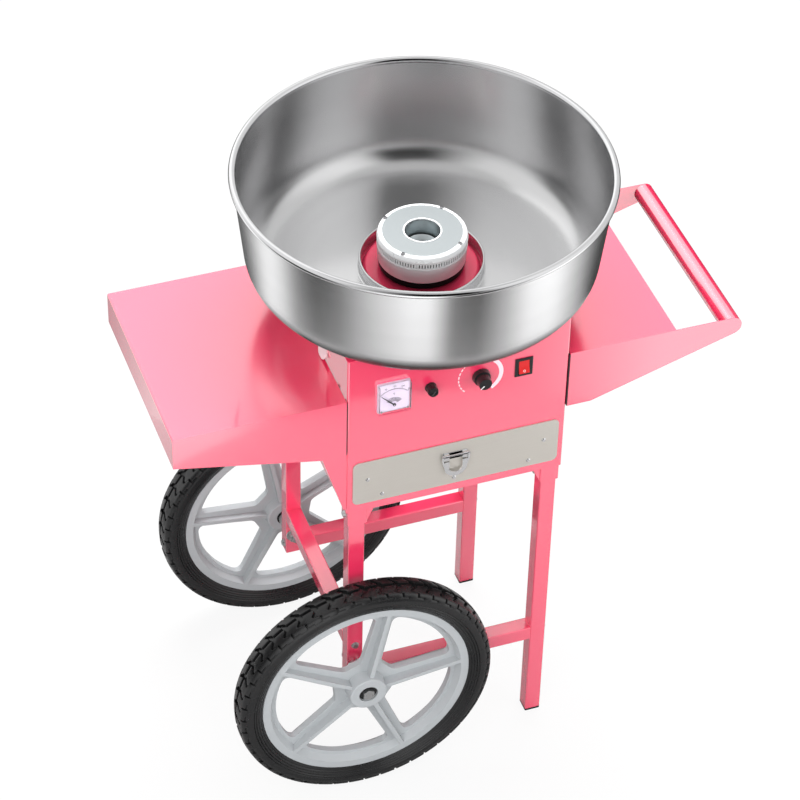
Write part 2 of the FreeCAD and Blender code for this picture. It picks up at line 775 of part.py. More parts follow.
# ---------------------------------------------------------------------------
# Brackets under the left shelf
# ---------------------------------------------------------------------------

def shelf_bracket():
    """A folded gusset in the corner between the left shelf and the cabinet side."""
    side = -CAB_X
    reach = side - BRACKET_REACH
    tip = side - BRACKET_TIP
    low = BRACKET_LOW - BRACKET_TAIL
    web = rounded_face([(side, low), (side, BRACKET_TOP), (reach, BRACKET_TOP),
                        (reach, SHELF_LOW), (tip, low)], at_y(BRACKET_Y))
    slope = rounded_face([(reach, SHELF_LOW), (tip, low), (tip + BRACKET_SHEET, low),
                          (reach + BRACKET_SHEET, SHELF_LOW)], at_y(BRACKET_Y))
    mount = box(side - BRACKET_SHEET, side, BRACKET_Y, BRACKET_Y + BRACKET_FLANGE,
                BRACKET_LOW, BRACKET_TOP)
    shape = union([web.extrude(V(0, BRACKET_SHEET, 0)),
                   slope.extrude(V(0, BRACKET_FLANGE, 0)), mount])
    for z in BRACKET_BOLT_Z:
        shape = shape.cut(bolt_hole(V(side - BOLT_HEAD_R, BRACKET_BOLT_Y, z), V(2 * BOLT_HEAD_R, 0, 0)))
    return shape


# ---------------------------------------------------------------------------
# Cabinet
# ---------------------------------------------------------------------------

def plan(x, y, low, high, corner):
    """An upright block with rounded corners, centred on the axis."""
    return rounded_face(rectangle(-x, x, -y, y, corner), at_z(low)).extrude(V(0, 0, high - low))


def base_plate():
    """Floor pan: turned-up flanges inside the walls, two rows of air slots."""
    x = CAB_X - SHEET
    y = CAB_Y - SHEET
    top = CABINET_BOTTOM + LID_FLANGE
    pan = plan(x, y, CABINET_BOTTOM, top, CABINET_CORNER)
    pan = pan.cut(box(-x + SHEET, x - SHEET, -y + SHEET, y - SHEET, CABINET_BOTTOM + SHEET, top))
    slots = []
    for row in range(PAN_SLOT_ROWS):
        middle = (row - (PAN_SLOT_ROWS - 1) / 2) * PAN_SLOT_PITCH
        for x0 in (-PAN_SLOT_X - PAN_SLOT_L / 2, PAN_SLOT_X - PAN_SLOT_L / 2):
            outline = rectangle(x0, x0 + PAN_SLOT_L, middle - PAN_SLOT_W / 2,
                                middle + PAN_SLOT_W / 2, PAN_SLOT_W * 0.49)
            slots.append(rounded_face(outline, at_z(CABINET_BOTTOM)).extrude(V(0, 0, SHEET)))
    return pan.cut(slots)


def panel_cutouts():
    """Drawer opening and the control holes in the front panel."""
    through = V(0, 2 * SHEET, 0)
    start = PANEL_Y - SHEET / 2
    half = DRAWER_BOX_HALF + DRAWER_CLEAR
    outline = rectangle(-half, half, DRAWER_BOX_LOW - DRAWER_CLEAR,
                        DRAWER_BOX_TOP + DRAWER_CLEAR, DRAWER_CLEAR)
    drawer = rounded_face(outline, at_y(start)).extrude(through)
    wide = SWITCH_BODY_W / 2 + SWITCH_FIT
    tall = SWITCH_BODY_H / 2 + SWITCH_FIT
    switch = rounded_face(rectangle(SWITCH_X - wide, SWITCH_X + wide, CONTROL_Z - tall,
                                    CONTROL_Z + tall), at_y(start)).extrude(through)
    cuts = [drawer, switch]
    for x, r in ((METER_X, METER_CAN_R), (FUSE_X, FUSE_BODY_R), (KNOB_X, POT_BUSH_R)):
        point = V(x, start, CONTROL_Z)
        cuts.append(rod(r + HOLE_FIT, point, point + through))
    return cuts


def cabinet_body():
    """Front and sides folded from one sheet, with returns at the back."""
    outer = plan(CAB_X, CAB_Y, CABINET_BOTTOM, LID_UNDER, CABINET_CORNER)
    inner = plan(CAB_X - SHEET, CAB_Y - SHEET, CABINET_BOTTOM, LID_UNDER, CABINET_CORNER - SHEET)
    half = CAB_X - BACK_RETURN
    doorway = box(-half, half, CAB_Y - 2 * SHEET, CAB_Y, CABINET_BOTTOM, LID_UNDER)
    holes = []
    for sy in (-1, 1):
        for z in BRACKET_BOLT_Z:
            spot = V(-CAB_X - SHEET, sy * BRACKET_BOLT_Y, z)
            holes.append(bolt_hole(spot, V(3 * SHEET, 0, 0)))
        for sx in (-1, 1):
            spot = V(sx * (CAB_X + SHEET), sy * SHELF_BOLT_Y, SHELF_BOLT_Z)
            holes.append(bolt_hole(spot, V(-sx * 3 * SHEET, 0, 0)))
    return outer.cut([inner, doorway] + panel_cutouts() + holes)


def louvre(x, z):
    """A pressed hood over one slot: the solid to add and the hollow to cut."""
    face = CAB_Y + SHEET
    low = z - LOUVRE_H
    high = z + LOUVRE_H
    hood = rounded_face([(face, low), (face + LOUVRE_OUT, low),
                         (face + LOUVRE_OUT, low + LOUVRE_SKIN), (face, high)],
                        at_x(x - LOUVRE_W / 2)).extrude(V(LOUVRE_W, 0, 0))
    inner = LOUVRE_OUT - LOUVRE_SKIN
    hollow = rounded_face([(CAB_Y, low), (face + inner, low), (face + inner, low + LOUVRE_SKIN / 2),
                           (face, high - 2 * LOUVRE_SKIN), (CAB_Y, high - 2 * LOUVRE_SKIN)],
                          at_x(x - LOUVRE_W / 2 + LOUVRE_SKIN))
    return hood, hollow.extrude(V(LOUVRE_W - 2 * LOUVRE_SKIN, 0, 0))


def back_panel():
    """Flat cover on the cabinet's rear returns, with louvres and the gland hole."""
    x = CAB_X - BACK_PANEL_MARGIN
    outline = rectangle(-x, x, CABINET_BOTTOM + BACK_PANEL_MARGIN,
                        CABINET_TOP - BACK_PANEL_MARGIN, BACK_PANEL_CORNER)
    panel = rounded_face(outline, at_y(CAB_Y)).extrude(V(0, SHEET, 0))
    hoods = []
    hollows = []
    for row in range(LOUVRE_ROWS):
        for x in (-LOUVRE_X, LOUVRE_X):
            hood, hollow = louvre(x, CABINET_TOP - LOUVRE_DROP - row * LOUVRE_PITCH)
            hoods.append(hood)
            hollows.append(hollow)
    neck = GLAND_R - GLAND_WALL + HOLE_FIT
    hollows.append(rod(neck, V(GLAND_X, CAB_Y, GLAND_Z), V(GLAND_X, CAB_Y + SHEET, GLAND_Z)))
    return panel.fuse(hoods).cut(hollows).removeSplitter()


def cord_gland():
    """The empty cord gland in the back panel: flange, nose, neck and lock nut."""
    face = CAB_Y + SHEET
    here = V(GLAND_X, face, GLAND_Z)
    flange = rod(GLAND_R + GLAND_FLANGE, here, here + V(0, GLAND_FLANGE_T, 0))
    nose = Part.makeCone(GLAND_R, GLAND_R - GLAND_FLANGE_T, GLAND_NOSE,
                         here + V(0, GLAND_FLANGE_T, 0), V(0, 1, 0))
    neck = rod(GLAND_R - GLAND_WALL, here - V(0, GLAND_TAIL + SHEET, 0), here)
    lock = hexagon(GLAND_R + GLAND_FLANGE, V(GLAND_X, CAB_Y, GLAND_Z), V(0, -GLAND_NUT_H, 0))
    bore = rod(GLAND_BORE, here - V(0, GLAND_TAIL + SHEET, 0),
               here + V(0, GLAND_FLANGE_T + GLAND_NOSE, 0))
    return union([flange, nose, neck, lock]).cut(bore)


def top_plate():
    """Lid with down-turned flanges; its middle is raised inside the bowl's collar."""
    lid = plan(CAB_X, CAB_Y, LID_UNDER, CABINET_TOP, CABINET_CORNER)
    x = CAB_X - SHEET - LID_FIT
    y = CAB_Y - SHEET - LID_FIT
    low = CABINET_TOP - LID_FLANGE
    skirt = plan(x, y, low, LID_UNDER, CABINET_CORNER)
    skirt = skirt.cut(box(-x + SHEET, x - SHEET, -y + SHEET, y - SHEET, low, LID_UNDER))
    foot = PLATEAU_FOOT_R
    lid = lid.cut(rod(foot, V(0, 0, LID_UNDER), V(0, 0, CABINET_TOP)))
    hole = SHAFT_R + SHAFT_HOLE_ROOM
    bend = PLATEAU_BEND
    raised = turned([(hole, PLATEAU_UNDER), (PLATEAU_R - SHEET, PLATEAU_UNDER, bend - SHEET),
                     (foot - SHEET, LID_UNDER), (foot + SHEET, LID_UNDER),
                     (foot + SHEET, CABINET_TOP), (foot, CABINET_TOP),
                     (PLATEAU_R, PLATEAU_TOP, bend), (hole, PLATEAU_TOP)])
    return lid.fuse([skirt, raised]).removeSplitter()


# ---------------------------------------------------------------------------
# Shelves and push handle
# ---------------------------------------------------------------------------

def shelf_bolt_holes(sign):
    return [bolt_hole(V(sign * (SHELF_NEAR - SHEET), y, SHELF_BOLT_Z), V(sign * 3 * SHEET, 0, 0))
            for y in (-SHELF_BOLT_Y, SHELF_BOLT_Y)]


def shelf_left():
    """A folded tray: flat top, deep skirts that taper to the closed outer end."""
    near = -SHELF_NEAR
    far = -SHELF_LEFT_END
    lip = SHELF_TOP - SHELF_LEFT_LIP
    half = SHELF_HALF_DEPTH
    outline = [(near, SHELF_LOW), (near - SHELF_FLAT, SHELF_LOW), (far, lip),
               (far, SHELF_TOP, SHELF_BEND), (near, SHELF_TOP)]
    solid = rounded_face(outline, at_y(-half)).extrude(V(0, 2 * half, 0))
    hollow = rounded_face([(near, SHELF_LOW), (far + SHEET, SHELF_LOW),
                           (far + SHEET, SHELF_TOP - SHEET, SHELF_BEND - SHEET),
                           (near, SHELF_TOP - SHEET)], at_y(-half + SHEET))
    hollow = hollow.extrude(V(0, 2 * (half - SHEET), 0))
    edge = box(near - SHEET, near, -half + SHEET, half - SHEET, SHELF_TOP - SHELF_EDGE,
               SHELF_TOP - SHEET)
    return solid.cut(hollow).fuse(edge).cut(shelf_bolt_holes(-1)).removeSplitter()


def shelf_right():
    """The short shelf whose skirts run on as two arms that hold the push handle."""
    near = SHELF_NEAR
    half = SHELF_HALF_DEPTH
    knee = (near + SHELF_FLAT, SHELF_LOW)
    touch = tangent_point(knee, (HANDLE_X, HANDLE_Z), ARM_END_R)
    tip = (HANDLE_X + ARM_END_R, HANDLE_Z)
    crown = (HANDLE_X, HANDLE_Z + ARM_END_R)
    arms = []
    for y in (-half, half - SHEET):
        arm = path_face([(near, SHELF_LOW), knee, touch, tip + crown,
                         (SHELF_RIGHT_END, SHELF_TOP), (near, SHELF_TOP)], at_y(y))
        arms.append(arm.extrude(V(0, SHEET, 0)))
    inside = half - SHEET
    top = box(near, SHELF_RIGHT_END, -inside, inside, SHELF_TOP - SHEET, SHELF_TOP)
    low = SHELF_TOP - SHELF_EDGE
    outer_edge = box(SHELF_RIGHT_END - SHEET, SHELF_RIGHT_END, -inside, inside, low, SHELF_TOP)
    inner_edge = box(near, near + SHEET, -inside, inside, low, SHELF_TOP)
    return union(arms + [top, outer_edge, inner_edge]).cut(shelf_bolt_holes(1))


def handle_tube():
    """The push handle: a round tube between the two arms, closed at its ends."""
    reach = SHELF_HALF_DEPTH - SHEET
    start = V(HANDLE_X, -reach, HANDLE_Z)
    end = V(HANDLE_X, reach, HANDLE_Z)
    inside = V(0, HANDLE_WALL, 0)
    return rod(HANDLE_R, start, end).cut(rod(HANDLE_R - HANDLE_WALL, start + inside, end - inside))


# ---------------------------------------------------------------------------
# Wheels.  side is -1 for the front wheel and 1 for the back one; an offset a
# along the axle is positive on the outer side of the wheel.
# ---------------------------------------------------------------------------

def wheel_place(side):
    return lambda a, r: V(WHEEL_X + r, side * (WHEEL_TRACK + a), WHEEL_Z)


def wheel_axis(side):
    return V(WHEEL_X, side * WHEEL_TRACK, WHEEL_Z)


def wheel_turned(points, side):
    return rounded_face(points, wheel_place(side)).revolve(wheel_axis(side), V(0, 1, 0), 360)


def wheel_disc(side, inner, outer, low, high):
    """A plain ring about the axle from offset inner to offset outer."""
    return wheel_turned([(inner, low), (inner, high), (outer, high), (outer, low)], side)


def blend(start, corner, end):
    """A quadratic curve that rounds off the corner between start and end."""
    curve = Part.BezierCurve()
    curve.setPoles([start, corner, end])
    return curve.toShape()


def spoke_window(side):
    """The rounded opening centred on +X between two tapered spokes."""
    half_turn = math.pi / SPOKES
    outer = RIM_INNER
    inner = HUB_R + SPOKE_ROOT

    def corner(radius, spoke_w, sign):
        turn = sign * (half_turn - math.asin(spoke_w / 2 / radius))
        return V(radius * math.cos(turn), 0, radius * math.sin(turn))

    def along_rim(point, run):
        turn = math.atan2(point.z, point.x) + run / outer
        return V(outer * math.cos(turn), 0, outer * math.sin(turn))

    def towards(point, other, run):
        return point + (other - point).normalize() * run

    low_out = corner(outer, SPOKE_RIM_W, -1)
    high_out = corner(outer, SPOKE_RIM_W, 1)
    high_in = corner(inner, SPOKE_HUB_W, 1)
    low_in = corner(inner, SPOKE_HUB_W, -1)
    big = WINDOW_CORNER * 1.25
    small = WINDOW_CORNER * 0.55
    marks = [along_rim(low_out, big), along_rim(high_out, -big),
             towards(high_out, high_in, big), towards(high_in, high_out, small),
             towards(high_in, low_in, small), towards(low_in, high_in, small),
             towards(low_in, low_out, small), towards(low_out, low_in, big)]
    edges = [Part.Arc(marks[0], V(outer, 0, 0), marks[1]).toShape(),
             blend(marks[1], high_out, marks[2]),
             Part.LineSegment(marks[2], marks[3]).toShape(),
             blend(marks[3], high_in, marks[4]),
             Part.LineSegment(marks[4], marks[5]).toShape(),
             blend(marks[5], low_in, marks[6]),
             Part.LineSegment(marks[6], marks[7]).toShape(),
             blend(marks[7], low_out, marks[0])]
    cutter = Part.Face(Part.Wire(edges)).extrude(V(0, 2 * RIM_HALF_WIDTH, 0))
    cutter.translate(wheel_axis(side) - V(0, RIM_HALF_WIDTH, 0))
    return cutter


def spoke_rib(side, face):
    """The tall spine on one face (1 outer, -1 inner) of the spoke along +X."""
    half = SPOKE_RIB_W / 2
    hub_top = (HUB_OUT if face > 0 else HUB_IN) - SPOKE_RIB_STEP
    foot = RIM_WEB_HALF - BEAD_FIT
    root = HUB_R - SPOKE_RIB_W
    tip = RIM_RADIUS - RIM_LIP_DEPTH + BEAD_FIT
    profile = [(root, foot), (tip, foot), (tip, RIM_HALF_WIDTH), (root, hub_top)]
    corners = [V(WHEEL_X + r, side * (WHEEL_TRACK + face * a), WHEEL_Z - half)
               for r, a in profile]
    outline = Part.Face(Part.makePolygon(corners + corners[:1]))
    return outline.extrude(V(0, 0, SPOKE_RIB_W))


def wheel(side, phase):
    """Moulded wheel: rim channel, tapered spokes with a spine, hub boss."""
    seat = TYRE_BEAD_HALF + BEAD_FIT
    flange = RIM_RADIUS + RIM_FLANGE
    lip = RIM_RADIUS - RIM_LIP_DEPTH
    valley = lip - RIM_LIP_DEPTH / 2
    rim = wheel_turned([(-RIM_HALF_WIDTH, lip), (-RIM_HALF_WIDTH, flange), (-seat, flange),
                        (-seat, RIM_RADIUS), (seat, RIM_RADIUS), (seat, flange),
                        (RIM_HALF_WIDTH, flange), (RIM_HALF_WIDTH, lip),
                        (RIM_WEB_HALF, valley), (RIM_WEB_HALF, RIM_INNER),
                        (-RIM_WEB_HALF, RIM_INNER), (-RIM_WEB_HALF, valley)], side)
    web = wheel_disc(side, -RIM_WEB_HALF, RIM_WEB_HALF, 0, RIM_INNER + BEAD_FIT)
    turn_axis = V(0, -1, 0)
    centre = wheel_axis(side)
    web = web.cut(around(spoke_window(side), SPOKES, centre, turn_axis, phase + 180.0 / SPOKES))
    ribs = []
    for face in (-1, 1):
        ribs += around(spoke_rib(side, face), SPOKES, centre, turn_axis, phase)
    hub = wheel_turned([(-HUB_IN, 0), (-HUB_IN, HUB_R - BUSH_LIP_H, BUSH_LIP_H),
                        (-RIM_WEB_HALF, HUB_R), (RIM_WEB_HALF, HUB_R),
                        (HUB_OUT, HUB_R - BUSH_LIP_H, BUSH_LIP_H), (HUB_OUT, 0)], side)
    bore = wheel_disc(side, -HUB_IN, HUB_OUT, 0, BUSH_R)
    recess = wheel_disc(side, RECESS_FACE, HUB_OUT, 0, HUB_RECESS_R)
    return rim.fuse([web, hub] + ribs).cut([bore, recess]).removeSplitter()


def tyre(side):
    """Solid rubber tyre: bead seat, bulged sidewalls, crown with two ring grooves."""
    wide = TYRE_HALF_WIDTH
    bead = TYRE_BEAD_HALF
    low = RIM_RADIUS + RIM_FLANGE + BEAD_FIT
    belly = RIM_RADIUS + TYRE_HEIGHT * 0.5
    cheek = low + (belly - low) * 0.45
    shoulder = WHEEL_RADIUS - TYRE_SHOULDER
    top = wide - TREAD_GROOVE_D
    outline = [(-bead, RIM_RADIUS), (bead, RIM_RADIUS), (bead, low),
               (wide - 1.5, cheek, wide, belly), (wide - 0.8, shoulder - 4, top, shoulder),
               (0, WHEEL_RADIUS, -top, shoulder), (0.8 - wide, shoulder - 4, -wide, belly),
               (1.5 - wide, cheek, -bead, low)]
    face = path_face(outline, wheel_place(side))
    shape = face.revolve(wheel_axis(side), V(0, 1, 0), 360)
    half = TREAD_GROOVE_W / 2
    floor = WHEEL_RADIUS - TREAD_GROOVE_D
    grooves = [wheel_disc(side, middle - half, middle + half, floor, WHEEL_RADIUS + half)
               for middle in (-TREAD_GROOVE_OFFSET, TREAD_GROOVE_OFFSET)]
    return shape.cut(grooves)


def hub_bushes(side):
    """Two flanged bushes pressed into the hub; the axle runs in them."""
    bore = AXLE_R + RUNNING
    near = BUSH_APART / 2
    bushes = []
    for start, lip in ((near, RECESS_FACE), (-near, -HUB_IN)):
        out = BUSH_LIP_H if lip > 0 else -BUSH_LIP_H
        bushes.append(wheel_turned([(start, bore), (start, BUSH_R), (lip, BUSH_R),
                                    (lip, BUSH_LIP_R), (lip + out, BUSH_LIP_R),
                                    (lip + out, bore)], side))
    return group(bushes)


def axle_bolt(side):
    """Axle bolt: head in the hub's recess, shank through the hub and the leg."""
    out = V(0, side, 0)
    seat = wheel_axis(side) + out * (RECESS_FACE + BUSH_LIP_H + FACE_GAP)
    inside = LEG_Y - TUBE_HALF - WASHER_H - AXLE_NUT_H - AXLE_TAIL
    shank = rod(AXLE_R, seat, V(WHEEL_X, side * inside, WHEEL_Z))
    return shank.fuse(hexagon(AXLE_NUT_R, seat, out * AXLE_HEAD_H))


def axle_hardware(side):
    """Spacer between leg and hub; washer and nut on the inner side of the leg."""
    outer_face = V(WHEEL_X, side * (LEG_Y + TUBE_HALF), WHEEL_Z)
    inner_face = V(WHEEL_X, side * (LEG_Y - TUBE_HALF), WHEEL_Z)
    out = V(0, side, 0)
    spacer = tube(WASHER_R, AXLE_R, outer_face, outer_face + out * SPACER_L)
    washer_end = inner_face - out * WASHER_H
    washer = tube(WASHER_R, AXLE_R, washer_end, inner_face)
    nut_end = washer_end - out * AXLE_NUT_H
    lock = hexagon(AXLE_NUT_R, washer_end, out * -AXLE_NUT_H).cut(rod(AXLE_R, nut_end, washer_end))
    return [spacer, washer, lock]


# ---------------------------------------------------------------------------
# Drawer and its ring pull
# ---------------------------------------------------------------------------

def drawer_screw_places():
    edge = DRAWER_FRONT_HALF - SCREW_EDGE_INSET
    low = DRAWER_FRONT_HALF - SCREW_LOW_INSET
    high_z = DRAWER_FRONT_TOP - SCREW_EDGE_DROP
    low_z = DRAWER_FRONT_LOW + SCREW_LOW_RAISE
    return [(-edge, high_z), (edge, high_z), (-low, low_z), (PULL_X, low_z), (low, low_z)]


def drawer_screw_holes(length):
    return [rod(SCREW_SHANK_R, V(x, DRAWER_FACE, z), V(x, DRAWER_FACE + length, z))
            for x, z in drawer_screw_places()]


def drawer_front():
    """Flat plate with rounded corners, larger than the opening behind it."""
    half = DRAWER_FRONT_HALF
    outline = rectangle(-half, half, DRAWER_FRONT_LOW, DRAWER_FRONT_TOP, DRAWER_FRONT_CORNER)
    plate = rounded_face(outline, at_y(DRAWER_FACE)).extrude(V(0, DRAWER_FRONT_T, 0))
    return plate.cut(drawer_screw_holes(DRAWER_FRONT_T))


def drawer_screws():
    return group([screw(V(x, DRAWER_FACE, z), V(0, 1, 0), SCREW_GRIP)
                  for x, z in drawer_screw_places()])


def drawer_box():
    """An open tray behind the drawer front."""
    half = DRAWER_BOX_HALF
    wall = DRAWER_WALL
    tray = box(-half, half, DRAWER_BACK, DRAWER_END, DRAWER_BOX_LOW, DRAWER_BOX_TOP)
    room = box(-half + wall, half - wall, DRAWER_BACK + wall, DRAWER_END - wall,
               DRAWER_BOX_LOW + wall, DRAWER_BOX_TOP)
    return tray.cut([room] + drawer_screw_holes(SCREW_GRIP))


def drawer_runners():
    """An angle rail on each cabinet side, with a guide beside the drawer."""
    wall = CAB_X - SHEET
    top = DRAWER_BOX_LOW - FACE_GAP
    start = PANEL_Y + SHEET + CABINET_CORNER
    length = V(0, DRAWER_END - start + RUNNER_LEDGE, 0)
    ledge = DRAWER_BOX_HALF - RUNNER_LEDGE
    guide = DRAWER_BOX_HALF + FACE_GAP
    rail = rounded_face([(ledge, top - RUNNER_T), (wall, top - RUNNER_T), (wall, top + RUNNER_H),
                         (wall - RUNNER_T, top + RUNNER_H), (wall - RUNNER_T, top),
                         (guide + RUNNER_T, top), (guide + RUNNER_T, top + RUNNER_GUIDE_H),
                         (guide, top + RUNNER_GUIDE_H), (guide, top), (ledge, top)],
                        at_y(start)).extrude(length)
    return group([rail, mirrored_x(rail)])


def pull_plate():
    """Back plate with two ears that wrap the ring's hinge bar."""
    half = EAR_OUT + PULL_PLATE_MARGIN
    back = DRAWER_FACE - PULL_PLATE_T
    low = PULL_Z - PULL_EAR_H
    high = PULL_Z + PULL_EAR_R
    outline = rectangle(PULL_X - half, PULL_X + half, low, high + PULL_PLATE_MARGIN, PULL_PLATE_MARGIN)
    shapes = [rounded_face(outline, at_y(back)).extrude(V(0, PULL_PLATE_T, 0))]
    front = PULL_Y - PULL_EAR_R
    for x in (PULL_X - EAR_OUT, PULL_X + EAR_IN):
        ear = path_face([(back, low), (back, high), (PULL_Y, high),
                         (front, PULL_Z, PULL_Y, PULL_Z - PULL_EAR_R), (PULL_Y, low)], at_x(x))
        shapes.append(ear.extrude(V(PULL_EAR_W, 0, 0)))
    bore = rod(PULL_PIN_R + RUNNING, V(PULL_X - half, PULL_Y, PULL_Z), V(PULL_X + half, PULL_Y, PULL_Z))
    return shapes[0].fuse(shapes[1:]).cut(bore).removeSplitter()


def ring_pull():
    """A flat ring with square shoulders; its top bar turns in the ears."""
    y = PULL_Y - PULL_T / 2
    outer = PULL_ROUND_R
    inner = PULL_HOLE_R
    wide = PULL_HALF_W
    notch = wide - PULL_ARM
    middle = PULL_Z - PULL_LENGTH + outer
    top = PULL_Z + PULL_T / 2
    ledge = PULL_Z - PULL_NOTCH

    def place(a, b):
        return V(PULL_X + a, y, b)

    plate = path_face([(-wide, top), (-wide, ledge), (-outer, middle),
                       (0, middle - outer, outer, middle), (wide, ledge), (wide, top)], place)
    hole = path_face([(-notch, PULL_Z + PULL_T), (-notch, ledge), (-inner, ledge), (-inner, middle),
                      (0, middle - inner, inner, middle), (inner, ledge), (notch, ledge),
                      (notch, PULL_Z + PULL_T)], place)
    thick = V(0, PULL_T, 0)
    bar = rod(PULL_PIN_R, V(PULL_X - wide, PULL_Y, PULL_Z), V(PULL_X + wide, PULL_Y, PULL_Z))
    return union([plate.extrude(thick).cut(hole.extrude(thick)), bar])


# ---------------------------------------------------------------------------
# Control panel
# ---------------------------------------------------------------------------

def voltmeter_case():
    """Base on the panel, the round can behind it and the pointer's pivot pin."""
    half = METER_W / 2
    tall = METER_H / 2
    outline = rectangle(METER_X - half, METER_X + half, CONTROL_Z - tall, CONTROL_Z + tall,
                        METER_WALL)
    base = rounded_face(outline, at_y(METER_FACE)).extrude(V(0, METER_BASE_T, 0))
    middle = V(METER_X, PANEL_Y, CONTROL_Z)
    can = rod(METER_CAN_R, middle, middle + V(0, METER_CAN_L, 0))
    pivot = V(METER_X, METER_FACE, METER_PIVOT_Z)
    post = rod(NEEDLE_EYE_R, pivot, pivot - V(0, NEEDLE_STAND - FACE_GAP, 0))
    pin = rod(METER_PIN_R, pivot, pivot - V(0, NEEDLE_STAND + 3 * NEEDLE_T, 0))
    return union([base, can, post, pin])


def voltmeter_cover():
    """Clear moulded cover over the dial, open at the back."""
    half = METER_W / 2 - METER_COVER_INSET
    tall = METER_H / 2 - METER_COVER_INSET
    front = PANEL_Y - METER_DEPTH
    outline = rectangle(METER_X - half, METER_X + half, CONTROL_Z - tall, CONTROL_Z + tall,
                        METER_WALL)
    outer = rounded_face(outline, at_y(front)).extrude(V(0, METER_FACE - front, 0))
    half -= METER_WALL
    tall -= METER_WALL
    return outer.cut(box(METER_X - half, METER_X + half, front + METER_WALL, METER_FACE,
                         CONTROL_Z - tall, CONTROL_Z + tall))


def voltmeter_needle():
    """Pointer on its pin, resting at the left end of the scale."""
    y = METER_FACE - NEEDLE_STAND - 2 * NEEDLE_T
    pivot = V(METER_X, y, METER_PIVOT_Z)
    eye = rod(NEEDLE_EYE_R, pivot, pivot + V(0, 2 * NEEDLE_T, 0))
    tip = METER_PIVOT_Z + NEEDLE_LENGTH
    thin = NEEDLE_W / 3
    blade = rounded_face([(METER_X - NEEDLE_W, METER_PIVOT_Z), (METER_X - thin, tip),
                          (METER_X + thin, tip), (METER_X + NEEDLE_W, METER_PIVOT_Z)],
                         at_y(y)).extrude(V(0, NEEDLE_T, 0))
    bore = rod(METER_PIN_R + RUNNING, pivot, pivot + V(0, 2 * NEEDLE_T, 0))
    needle = eye.fuse(blade).cut(bore)
    needle.rotate(pivot, V(0, -1, 0), NEEDLE_REST)
    return needle


def fuse_holder():
    """Panel fuse holder: bezel, hollow body and the nut behind the panel."""
    face = V(FUSE_X, PANEL_Y, CONTROL_Z)
    front = face - V(0, FUSE_BEZEL_H, 0)
    back = face + V(0, FUSE_LENGTH, 0)
    bezel = rod(FUSE_CAP_R + FUSE_BEZEL_LIP, front, face)
    body = rod(FUSE_BODY_R, face, back)
    lock = hexagon(FUSE_BODY_R * 1.6, face + V(0, SHEET, 0), V(0, NUT_H, 0))
    room = rod(FUSE_BODY_R - FUSE_WALL, front, back - V(0, 2 * FUSE_WALL, 0))
    return union([bezel, body, lock]).cut(room)


def fuse_cap():
    """Screw cap with a coin slot and grip flutes; its stem goes into the holder."""
    base = V(FUSE_X, PANEL_Y - FUSE_BEZEL_H - FACE_GAP, CONTROL_Z)
    out = V(0, -1, 0)
    straight = FUSE_CAP_H - 2 * FUSE_CAP_TAPER
    shoulder = base + out * straight
    end = base + out * FUSE_CAP_H
    cap = rod(FUSE_CAP_R, base, shoulder)
    tip = Part.makeCone(FUSE_CAP_R, FUSE_CAP_R - FUSE_CAP_TAPER, 2 * FUSE_CAP_TAPER, shoulder, out)
    stem = rod(FUSE_BODY_R - FUSE_WALL - RUNNING, base, base - out * FUSE_STEM_L)
    half = FUSE_SLOT_W / 2
    slot = box(end.x - FUSE_BODY_R, end.x + FUSE_BODY_R, end.y, end.y + FUSE_SLOT_W,
               end.z - half, end.z + half)
    flute = box(end.x + FUSE_CAP_R - half, end.x + FUSE_CAP_R + half, shoulder.y,
                base.y - FUSE_SLOT_W, end.z - half, end.z + half)
    return union([cap, tip, stem]).cut([slot] + around(flute, FUSE_FLUTES, end, V(0, 1, 0)))


def regulator_body():
    """Potentiometer behind the panel: can, bored bush and three tags."""
    behind = V(KNOB_X, PANEL_Y + SHEET, CONTROL_Z)
    can = rod(POT_BODY_R, behind, behind + V(0, POT_BODY_L, 0))
    bush = rod(POT_BUSH_R, behind - V(0, SHEET, 0), behind)
    tags = [box(KNOB_X + shift - 1, KNOB_X + shift + 1, behind.y + POT_BODY_L / 2,
                behind.y + POT_BODY_L / 2 + 1, CONTROL_Z - POT_BODY_R - POT_TAG_L,
                CONTROL_Z - POT_BODY_R + 1) for shift in (-POT_BUSH_R, 0, POT_BUSH_R)]
    bore = rod(POT_SHAFT_R + RUNNING, V(KNOB_X, PANEL_Y, CONTROL_Z),
               behind + V(0, POT_BODY_L / 2, 0))
    return union([can, bush] + tags).cut(bore)


def regulator_knob():
    """Skirted knob with a fluted grip and a pointer groove, on its shaft."""
    base = V(KNOB_X, PANEL_Y - KNOB_GAP, CONTROL_Z)
    out = V(0, -1, 0)
    step = base + out * KNOB_SKIRT_H
    end = step + out * KNOB_GRIP_H
    skirt = Part.makeCone(KNOB_SKIRT_R, KNOB_SKIRT_R - KNOB_TAPER, KNOB_SKIRT_H, base, out)
    grip = Part.makeCone(KNOB_GRIP_R, KNOB_GRIP_R - KNOB_TAPER, KNOB_GRIP_H, step, out)
    edge = V(KNOB_GRIP_R + KNOB_TAPER / 4, 0, 0)
    flute = rod(KNOB_TAPER, end + edge, step + edge + out * KNOB_TAPER)
    shaft = rod(POT_SHAFT_R, base, base - out * (KNOB_GAP + SHEET + POT_BODY_L / 2 - FACE_GAP))
    mark = box(KNOB_X - KNOB_MARK_W / 2, KNOB_X + KNOB_MARK_W / 2, end.y, end.y + KNOB_TAPER / 2,
               CONTROL_Z + KNOB_GRIP_R / 3, CONTROL_Z + KNOB_GRIP_R)
    mark.rotate(base, out, KNOB_REST)
    flutes = around(flute, KNOB_FLUTES, base, V(0, 1, 0))
    return union([skirt, grip, shaft]).cut(flutes + [mark])


